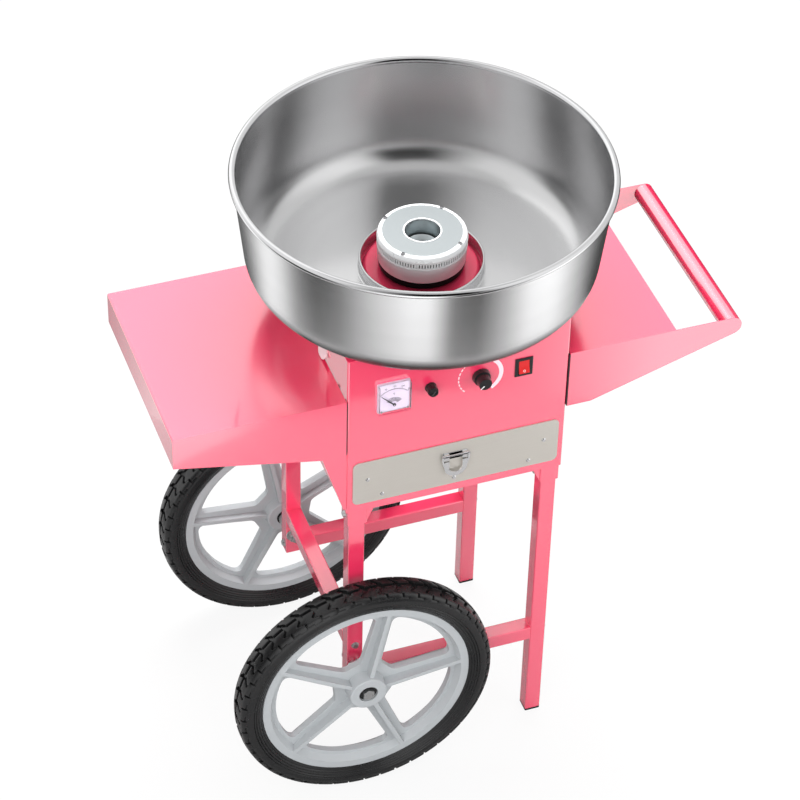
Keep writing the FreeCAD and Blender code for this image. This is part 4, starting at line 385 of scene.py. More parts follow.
def add(tree, kind, *feeds, **settings):
    """Adds a node. Feeds go to its inputs in order, settings to the inputs or properties named."""
    node = tree.nodes.new(kind)
    for key, value in settings.items():
        label = key.replace("_", " ")
        if label in node.inputs:
            feed(tree, node.inputs[label], value)
        else:
            setattr(node, key, value)
    for socket, value in zip(node.inputs, feeds):
        feed(tree, socket, value)
    return node


def output(tree, kind, *feeds, **settings):
    """First output of a node that is added in the same way."""
    return add(tree, kind, *feeds, **settings).outputs[0]


def once(make):
    """Keeps the first thing that a function makes."""
    kept = []

    def get():
        if not kept:
            kept.append(make())
        return kept[0]
    return get


def effect(name, outputs, **inputs):
    """Starts a shader node group that reads a vector and these numbers or vectors."""
    tree = bpy.data.node_groups.new(name, "ShaderNodeTree")
    tree.interface.new_socket(name="Vector", in_out="INPUT", socket_type="NodeSocketVector")
    for key, default in inputs.items():
        kind = "NodeSocketFloat" if isinstance(default, float) else "NodeSocketVector"
        socket = tree.interface.new_socket(name=key.replace("_", " "), in_out="INPUT", socket_type=kind)
        socket.default_value = default
    for label in outputs:
        tree.interface.new_socket(name=label, in_out="OUTPUT", socket_type="NodeSocketFloat")
    return tree, tree.nodes.new("NodeGroupInput").outputs, tree.nodes.new("NodeGroupOutput").inputs


@once
def fine_grain_effect():
    """Small even grain and slow patches, from noise in the piece's own coordinates."""
    tree, given, result = effect("Fine grain", ("Grain", "Patches"), Grain_Scale=900.0, Patch_Scale=14.0)
    for label, scale, detail, roughness in (("Grain", "Grain Scale", 3.0, 0.6),
                                            ("Patches", "Patch Scale", 4.0, 0.55)):
        noise = output(tree, "ShaderNodeTexNoise", Vector=given["Vector"], Scale=given[scale],
                       Detail=detail, Roughness=roughness)
        tree.links.new(noise, result[label])
    return tree


@once
def turned_lines_effect():
    """Fine rings left by turning or spinning, round the upright axis of the vector."""
    tree, given, result = effect("Turned lines", ("Lines", "Bands"), Line_Scale=900.0, Band_Scale=60.0)
    split = add(tree, "ShaderNodeSeparateXYZ", given["Vector"]).outputs
    flat = output(tree, "ShaderNodeCombineXYZ", split["X"], split["Y"])
    reach = add(tree, "ShaderNodeVectorMath", flat, operation="LENGTH").outputs["Value"]
    profile = output(tree, "ShaderNodeCombineXYZ", reach, split["Z"])
    for label, scale in (("Lines", "Line Scale"), ("Bands", "Band Scale")):
        noise = output(tree, "ShaderNodeTexNoise", Vector=profile, Scale=given[scale], Detail=3.0,
                       Roughness=0.6)
        tree.links.new(noise, result[label])
    return tree


@once
def brushed_lines_effect():
    """Long straight brush lines; the vector is squeezed along the way they run."""
    tree, given, result = effect("Brushed lines", ("Lines",), Squeeze=(0.02, 1.0, 1.0),
                                 Line_Scale=1500.0)
    squeezed = output(tree, "ShaderNodeVectorMath", given["Vector"], given["Squeeze"],
                      operation="MULTIPLY")
    noise = output(tree, "ShaderNodeTexNoise", Vector=squeezed, Scale=given["Line Scale"], Detail=4.0,
                   Roughness=0.65)
    tree.links.new(noise, result["Lines"])
    return tree


# ---------------------------------------------------------------------------
# Finishes
# ---------------------------------------------------------------------------

def empty_material(name):
    """A material without nodes, and its node tree."""
    material = bpy.data.materials.new(name)
    material.use_nodes = True
    material.node_tree.nodes.clear()
    return material, material.node_tree


def new_finish(name, colour, **settings):
    """A material with one Principled shader; returns it, its node tree and the shader."""
    material, tree = empty_material(name)
    material.diffuse_color = (*colour, 1.0)
    shader = add(tree, "ShaderNodeBsdfPrincipled", Base_Color=colour, **settings)
    add(tree, "ShaderNodeOutputMaterial", shader.outputs["BSDF"])
    return material, tree, shader


def own_place(tree, centre):
    """The piece's own coordinates, counted from a point."""
    place = add(tree, "ShaderNodeTexCoord").outputs["Object"]
    return output(tree, "ShaderNodeMapping", vector_type="TEXTURE", Vector=place, Location=centre)


def vary_colour(tree, shader, mask, colour, other):
    """Mixes two colours by a mask into the base colour."""
    mix = add(tree, "ShaderNodeMix", mask, data_type="RGBA")
    feed(tree, mix.inputs[6], colour)
    feed(tree, mix.inputs[7], other)
    tree.links.new(mix.outputs[2], shader.inputs["Base Color"])


def recolour(tree, shader, mask, colour):
    """Lays a plain colour over the varied base colour where the mask is 1."""
    vary_colour(tree, shader, mask, shader.inputs["Base Color"].links[0].from_socket, colour)


def times(colour, share):
    """A colour made darker by a share."""
    return tuple(c * share for c in colour)


def patterned(name, colour, other, roughness, relief, group, masks, centre=(0.0, 0.0, 0.0),
              scales=None, **settings):
    """A finish whose colour, roughness and height follow three masks of a shared effect."""
    material, tree, shader = new_finish(name, colour, **settings)
    place = own_place(tree, centre)
    node = add(tree, "ShaderNodeGroup", node_tree=group, Vector=place, **(scales or {})).outputs
    tone, gloss, height = (node[label] for label in masks)
    vary_colour(tree, shader, tone, colour, other)
    spread = output(tree, "ShaderNodeMapRange", gloss, 0.3, 0.7, *roughness)
    tree.links.new(spread, shader.inputs["Roughness"])
    bump = output(tree, "ShaderNodeBump", Strength=1.0, Distance=relief, Height=height)
    tree.links.new(bump, shader.inputs["Normal"])
    return material, tree, shader


def grained(name, colour, other, roughness, grain=900.0, patch=14.0, relief=0.00003, **settings):
    """A moulded, cast or sprayed finish: slow tone patches, varied gloss and a fine grain."""
    return patterned(name, colour, other, roughness, relief, fine_grain_effect(),
                     ("Patches", "Patches", "Grain"), scales={"Grain_Scale": grain, "Patch_Scale": patch},
                     **settings)[0]


def turned_metal(name, node, colour, other, roughness, line=900.0, relief=0.00002, Metallic=1.0):
    """Metal with the fine rings that a lathe leaves round the node's axis."""
    return patterned(name, colour, other, roughness, relief, turned_lines_effect(),
                     ("Bands", "Lines", "Lines"), axis_of(node), {"Line_Scale": line},
                     Metallic=Metallic)[0]


# name: colour, colour of its patches, lowest and highest roughness, what else differs
GRAINED = {
    "Polished rolled edge": ((0.86, 0.86, 0.87), (0.80, 0.80, 0.81), (0.08, 0.16),
                             dict(Metallic=1.0, relief=0.000004)),
    "Bright chrome": ((0.88, 0.88, 0.89), (0.83, 0.83, 0.84), (0.05, 0.12),
                      dict(Metallic=1.0, relief=0.000004)),
    "Small screw steel": ((0.58, 0.58, 0.59), (0.48, 0.48, 0.49), (0.14, 0.24),
                          dict(Metallic=1.0, grain=1500.0, patch=60.0, relief=0.000006)),
    "Zinc plate": ((0.70, 0.70, 0.69), (0.60, 0.61, 0.62), (0.22, 0.42),
                   dict(Metallic=1.0, grain=1500.0, patch=60.0, relief=0.00001)),
    "Bright bevel": ((0.92, 0.93, 0.94), (0.88, 0.89, 0.90), (0.24, 0.34),
                     dict(Metallic=0.25, grain=1500.0, relief=0.000004)),
    "Black moulding": ((0.007, 0.007, 0.008), (0.012, 0.012, 0.013), (0.20, 0.30),
                       dict(grain=1600.0, patch=40.0, relief=0.00001)),
    "Black phenolic": ((0.004, 0.004, 0.004), (0.009, 0.008, 0.008), (0.34, 0.46),
                       dict(grain=1200.0, patch=50.0, relief=0.00001, Specular_IOR_Level=0.04)),
    "Tyre rubber": ((0.007, 0.007, 0.008), (0.012, 0.012, 0.012), (0.24, 0.32),
                    dict(grain=1300.0, patch=26.0, relief=0.00004)),
    "Pale clip moulding": ((0.88, 0.70, 0.72), (0.80, 0.60, 0.63), (0.32, 0.45), {}),
    "Meter plate": ((0.76, 0.66, 0.80), (0.70, 0.60, 0.75), (0.28, 0.40),
                    dict(grain=2500.0, relief=0.000004)),
    "Needle black": ((0.01, 0.01, 0.012), (0.02, 0.02, 0.022), (0.35, 0.45), dict(relief=0.000002)),
    "Red rocker plastic": ((0.62, 0.012, 0.013), (0.54, 0.009, 0.010), (0.16, 0.26),
                           dict(grain=1800.0, relief=0.000006, Coat_Weight=0.4, Coat_Roughness=0.08)),
    "Pale pink print": ((1.0, 0.68, 0.74), (0.96, 0.62, 0.69), (0.38, 0.50), dict(relief=0.000002)),
    "White print": ((0.86, 0.86, 0.86), (0.80, 0.80, 0.80), (0.40, 0.50), dict(relief=0.000002)),
    "Black print": ((0.012, 0.012, 0.014), (0.03, 0.03, 0.034), (0.45, 0.55), dict(relief=0.000002)),
    "Heat stained steel": ((0.34, 0.30, 0.27), (0.20, 0.19, 0.24), (0.30, 0.50),
                           dict(Metallic=1.0, patch=50.0)),
    "Galvanised steel": ((0.60, 0.61, 0.62), (0.48, 0.50, 0.52), (0.30, 0.50),
                         dict(Metallic=1.0, patch=70.0)),
    "Machined iron": ((0.30, 0.30, 0.31), (0.22, 0.22, 0.23), (0.40, 0.58),
                      dict(Metallic=1.0, patch=40.0, relief=0.00004)),
    "Ground steel": ((0.76, 0.76, 0.76), (0.70, 0.70, 0.71), (0.12, 0.22),
                     dict(Metallic=1.0, relief=0.000006)),
    "Dark motor paint": ((0.035, 0.038, 0.042), (0.05, 0.052, 0.056), (0.30, 0.42), {}),
    "Turned pulley alloy": ((0.70, 0.70, 0.71), (0.62, 0.62, 0.64), (0.20, 0.34), dict(Metallic=1.0)),
    "Slip ring copper": ((0.80, 0.42, 0.24), (0.66, 0.33, 0.19), (0.16, 0.30),
                         dict(Metallic=1.0, relief=0.000008)),
    "Belt rubber": ((0.02, 0.02, 0.02), (0.035, 0.035, 0.034), (0.55, 0.70), {}),
}


def finish(name):
    """The material of this name in the table, made when it is first asked for."""
    colour, other, roughness, rest = GRAINED[name]
    return bpy.data.materials.get(name) or grained(name, colour, other, roughness, **rest)


def pink_paint(name):
    """Glossy pink coat with a faint orange peel; returns it, its node tree and its shader."""
    paint = bpy.context.scene.cart_paint
    pink = tuple(paint.pink)
    return patterned(name, pink, times(pink, 0.94), (paint.gloss, paint.gloss + 0.015), 0.0000015,
                     fine_grain_effect(), ("Patches", "Grain", "Grain"),
                     scales={"Grain_Scale": 420.0, "Patch_Scale": 5.0},
                     IOR=paint.pearl, Specular_IOR_Level=1.0, Coat_Weight=paint.clear_coat,
                     Coat_IOR=paint.pearl, Coat_Roughness=paint.gloss / 3)


@once
def pink_powder_coat():
    return pink_paint("Pink powder coat")[0]


@once
def handle_paint():
    """The handle's thicker coat, which mirrors more of the studio."""
    material, tree, shader = pink_paint("Handle paint")
    shader.inputs["IOR"].default_value = 2.6
    shader.inputs["Coat IOR"].default_value = 2.8
    return material


@once
def lid_paint():
    """The lid's coat, with painted shade under the spinner head and grey in far mirrors."""
    material, tree, shader = pink_paint("Lid paint")
    pink = tuple(bpy.context.scene.cart_paint.pink)
    # Painted shade: inside the collar the lid is a much darker pink, standing for the shade of the bowl.
    place = own_place(tree, axis_of("head_base"))
    flat = output(tree, "ShaderNodeVectorMath", place, (1.0, 1.0, 0.0), operation="MULTIPLY")
    reach = add(tree, "ShaderNodeVectorMath", flat, operation="LENGTH").outputs["Value"]
    spread = output(tree, "ShaderNodeMapRange", reach, 0.085, 0.100)
    vary_colour(tree, shader, spread, tuple(c * 0.36 + 0.008 for c in pink), pink)
    shader.inputs["IOR"].default_value = 1.5
    shader.inputs["Specular IOR Level"].default_value = 0.5
    coat = output(tree, "ShaderNodeMapRange", spread, To_Min=0.12)
    tree.links.new(coat, shader.inputs["Coat Weight"])
    mirrored_grey(tree, shader, 0.12)
    return material


def mirrored_grey(tree, shader, reach):
    """Turns the colour grey in mirrors further off than the reach, so only near steel picks it up."""
    path = add(tree, "ShaderNodeLightPath").outputs
    far = output(tree, "ShaderNodeMath", path["Ray Length"], reach, operation="GREATER_THAN")
    both = output(tree, "ShaderNodeMath", far, path["Is Glossy Ray"], operation="MULTIPLY")
    recolour(tree, shader, both, (0.45, 0.45, 0.45))


@once
def spun_stainless():
    """Bright bowl steel with stretched highlights; the camera sees its underside darker, as painted shade.
    """
    bowl = bpy.context.scene.cart_bowl
    steel = tuple(bowl.steel)
    material, tree, shader = patterned(
        "Spun stainless", steel, times(steel, 0.93), (bowl.polish - 0.015, bowl.polish + 0.02), 0.000003,
        turned_lines_effect(), ("Bands", "Lines", "Lines"), axis_of("bowl"),
        {"Line_Scale": 700.0, "Band_Scale": 40.0},
        Metallic=1.0, Anisotropic=0.75, Anisotropic_Rotation=0.25)
    # Painted shade: faces that look down are darkened to 0.12 of the steel's colour, for camera rays only.
    normal = add(tree, "ShaderNodeNewGeometry").outputs["Normal"]
    upward = add(tree, "ShaderNodeSeparateXYZ", normal).outputs["Z"]
    under = output(tree, "ShaderNodeMapRange", upward, -0.14, -0.50)
    seen = add(tree, "ShaderNodeLightPath").outputs["Is Camera Ray"]
    mask = output(tree, "ShaderNodeMath", under, seen, operation="MULTIPLY")
    recolour(tree, shader, mask, times(steel, 0.12))
    tangent = output(tree, "ShaderNodeTangent", direction_type="RADIAL", axis="Z")
    tree.links.new(tangent, shader.inputs["Tangent"])
    return material


@once
def brushed_front_steel():
    """Sheet steel of the drawer front, brushed from side to side."""
    colour = (0.71, 0.675, 0.62)
    return patterned("Brushed drawer steel", colour, (0.66, 0.625, 0.575), (0.30, 0.42), 0.000004,
                     brushed_lines_effect(), ("Lines", "Lines", "Lines"),
                     scales={"Squeeze": (0.012, 1.0, 1.0), "Line_Scale": 1500.0},
                     Anisotropic=0.5, Metallic=0.72)[0]


@once
def satin_aluminium():
    """Turned aluminium of the head's cap."""
    return turned_metal("Satin turned aluminium", "head_cap", (0.76, 0.81, 0.82), (0.72, 0.78, 0.80),
                        (0.30, 0.42), line=1200.0, relief=0.00001)


@once
def polished_aluminium():
    """Polished side of the spinner head."""
    return turned_metal("Polished aluminium", "head_base", (0.90, 0.90, 0.91), (0.82, 0.83, 0.84),
                        (0.34, 0.44), line=1500.0, relief=0.000004, Metallic=0.72)


@once
def punched_band_metal():
    return turned_metal("Punched band", "head_band", (0.95, 0.95, 0.95), (0.86, 0.86, 0.87),
                        (0.30, 0.42), Metallic=0.5)


@once
def grey_wheel_moulding():
    grey = tuple(bpy.context.scene.cart_wheel.grey)
    return grained("Grey wheel moulding", grey, times(grey, 0.93), (0.34, 0.46), grain=1100.0, patch=18.0,
                   relief=0.00002)


@once
def clear_cover():
    return new_finish("Clear cover", (1.0, 1.0, 1.0), Roughness=0.04, Transmission_Weight=1.0,
                      IOR=1.12)[0]


# ---------------------------------------------------------------------------
# Sizes and colours a user would change
# ---------------------------------------------------------------------------

class CartPaint(bpy.types.PropertyGroup):
    """Paint of the frame, cabinet and shelves."""
    pink: FloatVectorProperty(name="Pink", description="Colour of the powder coat", subtype="COLOR",
                              size=3, min=0.0, max=1.0, default=(0.95, 0.036, 0.122))
    gloss: FloatProperty(name="Roughness", description="Roughness of the powder coat", default=0.18,
                         min=0.0, max=1.0, subtype="FACTOR")
    clear_coat: FloatProperty(name="Clear coat", description="Weight of the clear top coat",
                              default=1.0, min=0.0, max=1.0, subtype="FACTOR")
    pearl: FloatProperty(name="Gloss index", description="How strongly the coat mirrors white",
                         default=2.0, min=1.3, max=2.6)


class CartBowl(bpy.types.PropertyGroup):
    """Sizes and steel of the bowl."""
    sheet: FloatProperty(name="Sheet", description="Thickness of the bowl's sheet", default=0.0012,
                         unit="LENGTH")
    bead: FloatProperty(name="Rolled edge", description="Radius of the rolled rim", default=0.005,
                        unit="LENGTH")
    foot_inset: FloatProperty(name="Taper", description="How far the wall leans in at the floor",
                              default=0.0187, unit="LENGTH")
    fillet: FloatProperty(name="Floor fillet", description="Radius between floor and wall",
                          default=0.048, unit="LENGTH")
    collar: FloatProperty(name="Collar", description="Radius of the collar round the head",
                          default=0.0875, unit="LENGTH")
    collar_height: FloatProperty(name="Collar height", description="Collar above the floor",
                                 default=0.019, unit="LENGTH")
    lug_drop: FloatProperty(name="Lug length", description="Lugs below the bowl's floor",
                            default=0.020, unit="LENGTH")
    steel: FloatVectorProperty(name="Steel", description="Colour of the bowl's steel", subtype="COLOR",
                               size=3, min=0.0, max=1.0, default=(0.80, 0.80, 0.805))
    polish: FloatProperty(name="Roughness", description="Roughness of the spun steel", default=0.24,
                          min=0.0, max=1.0, subtype="FACTOR")


class CartWheel(bpy.types.PropertyGroup):
    """Tyres and wheels."""
    lugs: IntProperty(name="Tread blocks", description="Blocks in one row of the tread", default=48,
                      min=12)
    tread: FloatProperty(name="Tread depth", description="Height of the tread blocks", default=0.0045,
                         unit="LENGTH")
    groove: FloatProperty(name="Groove", description="Half width of the grooves on the crown",
                          default=0.0040, unit="LENGTH")
    ring_width: FloatProperty(name="Ring groove", description="Half width of a sidewall ring",
                              default=0.0011, unit="LENGTH")
    rings: IntProperty(name="Sidewall rings", description="Fine rings beside the rim", default=4, min=0)
    grey: FloatVectorProperty(name="Grey", description="Colour of the wheel moulding", subtype="COLOR",
                              size=3, min=0.0, max=1.0, default=(0.40, 0.42, 0.435))


class CartControls(bpy.types.PropertyGroup):
    """Printed marks of the control panel."""
    dial_outer: FloatProperty(name="Dial print", description="Outer radius of the printed dial",
                              default=0.0335, unit="LENGTH")
    dial_band: FloatProperty(name="Dial band", description="Width of the thick printed arc",
                             default=0.0062, unit="LENGTH")
    scale_radius: FloatProperty(name="Meter scale", description="Radius of the meter's scale",
                                default=0.0270, unit="LENGTH")
    scale_step: IntProperty(name="Scale step", description="Volts between two numbers", default=50)


class CartStage(bpy.types.PropertyGroup):
    """Camera, lamps and floor."""
    azimuth: FloatProperty(name="Azimuth", description="Camera turn from the front",
                           default=math.radians(-20.5095), subtype="ANGLE")
    elevation: FloatProperty(name="Elevation", description="Camera height angle",
                             default=math.radians(41.6971), subtype="ANGLE")
    roll: FloatProperty(name="Roll", description="Camera roll", default=math.radians(1.5288),
                        subtype="ANGLE")
    distance: FloatProperty(name="Distance", description="Camera from its target", default=4.69347,
                            unit="LENGTH")
    target: FloatVectorProperty(name="Target", description="Point the camera looks at", size=3,
                                default=(0.00768, 0.10973, 0.450), subtype="XYZ")
    lens: FloatProperty(name="Lens", description="Focal length on a 36 mm sensor", default=140.79)
    world: FloatProperty(name="World", description="Strength of the even light", default=0.60, min=0.0)
    key: FloatProperty(name="Key lamp", description="Power of the front lamp", default=92.0,
                       subtype="POWER")
    fill: FloatProperty(name="Fill lamp", description="Power of the low lamp at the right",
                        default=52.0, subtype="POWER")
    sky: FloatProperty(name="Top softbox", description="Power of the softbox above", default=190.0,
                       subtype="POWER")


# ---------------------------------------------------------------------------
# Operators: one for each piece or group of like pieces
# ---------------------------------------------------------------------------

class PieceOperator:
    """What every piece operator shares."""
    bl_options = {"REGISTER", "UNDO"}


class CART_OT_frame_paint(PieceOperator, bpy.types.Operator):
    """Paints the tube frame: legs, sockets, stretchers, brackets and push handle"""
    bl_idname = "cart.frame_paint"
    bl_label = "Painted frame"

    def execute(self, context):
        for node in ("leg_front_left", "leg_back_left", "leg_front_right", "leg_back_right",
                     "leg_sockets", "stretcher_front", "stretcher_back", "stretcher_left",
                     "shelf_brackets"):
            dress(node, "painted_" + node, pink_powder_coat())
        handle = dress("handle_tube", "painted_handle_tube", handle_paint())
        handle.visible_glossy = False
        return {"FINISHED"}


class CART_OT_cabinet(PieceOperator, bpy.types.Operator):
    """Paints the cabinet, its lid with the raised middle, its back and the two folded shelves"""
    bl_idname = "cart.cabinet"
    bl_label = "Cabinet and shelves"

    strip_depth = 0.012          # how far a strip reaches in from the front or back
    strip_inset = 0.0004         # its edge behind the shelf's front
    strip_foot = 0.0005          # its foot above the shelf's lower edge
    strip_top = 0.0035           # its top below the shelf's upper edge

    def execute(self, context):
        for node in ("cabinet_body", "top_plate", "base_plate", "back_panel", "shelf_left",
                     "shelf_right"):
            paint = lid_paint() if node == "top_plate" else pink_powder_coat()
            piece = dress(node, "painted_" + node, paint, 0.0003, 1, 50.0)
            piece.visible_glossy = not node.startswith("shelf")
        self.seam_shade_strips()
        return {"FINISHED"}

    def seam_shade_strips(self):
        """Thin black strips in the seams between cabinet and shelves: painted shade of the gaps."""
        low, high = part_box("cabinet_body")
        shelf_low, shelf_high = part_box("shelf_left")
        seams = ((shelf_high.x, low.x), (high.x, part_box("shelf_right")[0].x))
        ends = ((shelf_low.y + self.strip_inset, shelf_low.y + self.strip_depth),
                (shelf_high.y - self.strip_depth, shelf_high.y - self.strip_inset))
        strips = [block("seam_shade_strip", (left, near, shelf_low.z + self.strip_foot),
                        (right, far, shelf_high.z - self.strip_top))
                  for left, right in seams for near, far in ends]
        # The black rubber finish paints the shade in the seams.
        carried_by(joined("shelf_seam_shade_strips", strips), finish("Belt rubber"), "cabinet_body")


class CART_OT_leg_ends(PieceOperator, bpy.types.Operator):
    """Finishes the black caps under the two standing legs"""
    bl_idname = "cart.leg_ends"
    bl_label = "Leg end caps"

    def execute(self, context):
        dress("leg_end_caps", "moulded_end_caps", finish("Black moulding"), 0.0006)
        return {"FINISHED"}


class CART_OT_fasteners(PieceOperator, bpy.types.Operator):
    """Finishes the zinc bolts of the frame"""
    bl_idname = "cart.fasteners"
    bl_label = "Frame bolts"

    def execute(self, context):
        dress("frame_bolts", "zinc_frame_bolts", finish("Zinc plate"))
        return {"FINISHED"}


class CART_OT_bowl(PieceOperator, bpy.types.Operator):
    """Spins the bowl from its outline, rolls its rim and collar and adds the two lugs"""
    bl_idname = "cart.bowl"
    bl_label = "Bowl"

    collar_fillet = 0.004        # radius between floor and collar
    collar_bead = 0.0018         # radius of the collar's rolled edge
    wall_rows = 12               # rows of faces up the straight wall
    lug_near = 0.1638            # lugs stand this far from the axis, just clear of the cabinet
    lug_far = 0.1653
    lug_front = -0.070
    lug_back = -0.054

    def execute(self, context):
        size = context.scene.cart_bowl
        low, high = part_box("bowl")
        axis = axis_of("bowl")
        floor = low.z + size.lug_drop
        rim_z = high.z - size.bead
        rim = (high.x - low.x) / 2 - size.bead
        inside = size.collar - size.sheet
        wall = rounded([(inside, floor + size.collar_height), (inside, floor, self.collar_fillet),
                        (rim - size.foot_inset, floor, size.fillet), (rim, rim_z)], 14)
        foot, edge = Vector(wall[-2]), Vector(wall[-1])
        wall[-1:-1] = [tuple(foot.lerp(edge, k / self.wall_rows)) for k in range(1, self.wall_rows)]
        shell = turned("bowl_shell", wall, axis, steps=240)
        self.face_in(shell)
        apply_modifier(shell, "SOLIDIFY", thickness=size.sheet, offset=1.0)
        tidy_mesh(shell)
        bead = turned("bowl_bead", circle_points(rim, rim_z, size.bead, 20), axis, steps=240)
        collar_bead = turned("collar_bead", circle_points(size.collar - size.sheet / 2,
                                                          floor + size.collar_height,
                                                          self.collar_bead, 12), axis, steps=120)
        lugs = []
        for side in (-1, 1):
            x = [axis.x + side * self.lug_near, axis.x + side * self.lug_far]
            lug = block("bowl_lug", (min(x), self.lug_front, floor - size.lug_drop),
                        (max(x), self.lug_back, floor + size.sheet / 2))
            lugs.append(soften(lug, 0.0005))
        bowl = smooth(joined("spun_bowl", [shell, collar_bead] + lugs), 40.0)
        stands_for(bowl, spun_stainless(), "bowl")
        carried_by(smooth(bead, 60.0), finish("Polished rolled edge"), "bowl")
        return {"FINISHED"}

    def face_in(self, shell):
        """Turns the open sheet so that its normals look up and inwards."""
        floor = min(shell.data.polygons, key=lambda face: face.center.z)
        if floor.normal.z < 0:
            open_mesh(shell)
            bpy.ops.mesh.flip_normals()
            close_mesh()


class CART_OT_bowl_clips(PieceOperator, bpy.types.Operator):
    """Finishes the two spring clips that hold the bowl's lugs"""
    bl_idname = "cart.bowl_clips"
    bl_label = "Bowl clips"

    def execute(self, context):
        dress("bowl_clips", "spring_clips", finish("Pale clip moulding"), 0.0004)
        return {"FINISHED"}


def cross_screw(name, radius, height):
    """A domed screw head with a cross recess, standing on the origin and facing up."""
    rim = 0.35                   # height of the straight edge, as a share of the head
    dome = [(0.0, 0.0), (radius, 0.0), (radius, height * rim)]
    dome += [(radius * math.cos(a), height * (rim + (1 - rim) * math.sin(a)))
             for a in (math.radians(d) for d in (18, 36, 54, 72))]
    dome.append((0.0, height))
    head = turned(name, dome, (0, 0, 0), steps=28)
    arm, width, foot, top = radius * 0.62, radius * 0.15, height * 0.45, height * 1.5
    cut = joined("cross_cut", [block("cut_a", (-arm, -width, foot), (arm, width, top)),
                               block("cut_b", (-width, -arm, foot), (width, arm, top))])
    apply_modifier(head, "BOOLEAN", object=cut, operation="DIFFERENCE", solver="EXACT", use_self=True)
    bpy.data.objects.remove(cut)
    return smooth(head)


class CART_OT_spinner_head(PieceOperator, bpy.types.Operator):
    """Finishes the spinner head: polished pan, slotted band, satin cap, screws and insulator"""
    bl_idname = "cart.spinner_head"
    bl_label = "Spinner head"

    flat = 0.0565                # the cap is satin up to here and a bright bevel beyond
    hole = 0.0250                # clear radius of the funnel tube
    wall = 0.0020                # wall of the tube and of the skirt
    lip = 0.0276                 # outer radius of the raised lip round the tube
    lip_height = 0.0020
    seat = 0.0035                # how deep the bevel's ring sits in the plate
    bevel = 0.0040               # how wide the ring is outside the skirt
    screw_ring = 0.0588          # radius of the circle that the screws stand on
    first_screw = 43.0           # degrees from the right, counted to the back
    screw_radius = 0.0031
    screw_height = 0.0016
    shank = 0.0012               # half the width of a screw's shank

    def execute(self, context):
        self.cap()
        dress("head_base", "polished_head_pan", polished_aluminium())
        dress("head_band", "slotted_head_band", punched_band_metal())
        dress("head_insulator", "head_insulator_ring", finish("Black phenolic"), 0.0003)
        dress("heating_ring", "coiled_heating_ring", finish("Heat stained steel"))
        self.slot_shade_sleeve()
        self.screws()
        self.sugar_dish()
        return {"FINISHED"}

    def cap(self):
        """The cap with its funnel tube, a bright bevel and a bright lip."""
        low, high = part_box("head_cap")
        outer = (high.x - low.x) / 2
        axis = axis_of("head_cap")
        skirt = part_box("head_band")[1].z
        top = high.z - self.lip_height
        plate = top - self.seat
        under = plate - 0.0005
        edge, skirt_wall, tube = outer - self.bevel, outer - self.bevel - self.wall, self.hole + self.wall
        body = turned("head_cap", [(self.lip, top), (self.flat, top), (self.flat, plate), (edge, plate),
                                   (edge, skirt), (skirt_wall, skirt), (skirt_wall, under), (tube, under),
                                   (tube, low.z), (self.hole, low.z), (self.hole, top), (self.lip, top)],
                      axis, steps=96)
        stands_for(smooth(body), satin_aluminium(), "head_cap")
        bevel = rounded([(self.flat, plate), (self.flat, top + 0.0002, 0.0002),
                         (outer - 0.0020, top - 0.0006, 0.0030), (outer, skirt + 0.0010, 0.0006),
                         (outer - 0.0005, skirt), (edge, skirt), (edge, plate), (self.flat, plate)], 6)
        lip = rounded([(self.hole, top - 0.0030), (self.hole, high.z, 0.0012),
                       (self.lip, high.z - 0.0008, 0.0012), (self.lip, top - 0.0030),
                       (self.hole, top - 0.0030)], 6)
        rings = smooth(joined("bright_cap_rings", [turned("cap_bevel", bevel, axis, steps=96),
                                                   turned("cap_lip", lip, axis, steps=96)]), 40.0)
        rings.visible_glossy = False
        carried_by(rings, finish("Bright bevel"), "head_cap")

    def slot_shade_sleeve(self):
        """A thin black sleeve behind the slots, where a heater ribbon sits; its black is painted shade that
        darkens the slots.
        """
        low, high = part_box("head_band")
        outer = (high.x - low.x) / 2 - 0.0026
        inner = outer - 0.0004
        shade_sleeve = turned("slot_shade_sleeve", [(outer, low.z), (outer, high.z), (inner, high.z),
                                          (inner, low.z), (outer, low.z)], axis_of("head_band"), steps=96)
        # Near-black finish: painted shade inside the head.
        carried_by(smooth(shade_sleeve), finish("Needle black"), "head_band")

    def sugar_dish(self):
        """The dished floor under the funnel tube."""
        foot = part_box("head_cap")[0].z + 0.002
        dish = turned("sugar_dish", [(0.0, 0.0), (0.010, 0.0004), (0.0215, 0.0028), (0.0225, 0.0036),
                                     (0.0225, 0.0020), (0.0110, -0.0010), (0.0, -0.0014)],
                      axis_of("head_cap") + Vector((0, 0, foot)))
        carried_by(smooth(dish, 50.0), satin_aluminium(), "head_cap")

    def screws(self):
        """Four small cross-recessed screws, each with its shank, round the cap's edge."""
        low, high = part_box("head_screws")
        seat = high.z - self.screw_height
        model = joined("cap_screw", [cross_screw("cap_screw", self.screw_radius, self.screw_height),
                                     block("shank", (-self.shank, -self.shank, low.z - seat),
                                           (self.shank, self.shank, 0.0002))])
        screws = []
        for k in range(4):
            turn = math.radians(self.first_screw + 90 * k)
            place = axis_of("head_cap") + Vector((self.screw_ring * math.cos(turn),
                                                  self.screw_ring * math.sin(turn), seat))
            screws.append(copied(model, "cap_screw_copy",
                                 Matrix.Translation(place) @ Matrix.Rotation(turn * 1.7, 4, "Z")))
        bpy.data.objects.remove(model)
        stands_for(joined("head_cap_screws", screws), finish("Small screw steel"), "head_screws")


class CART_OT_wheels(PieceOperator, bpy.types.Operator):
    """Finishes the two moulded five-spoke wheels"""
    bl_idname = "cart.wheels"
    bl_label = "Wheels"

    def execute(self, context):
        for node in ("wheel_front", "wheel_back"):
            dress(node, "moulded_" + node, grey_wheel_moulding(), 0.0012, 3, 35.0)
        return {"FINISHED"}


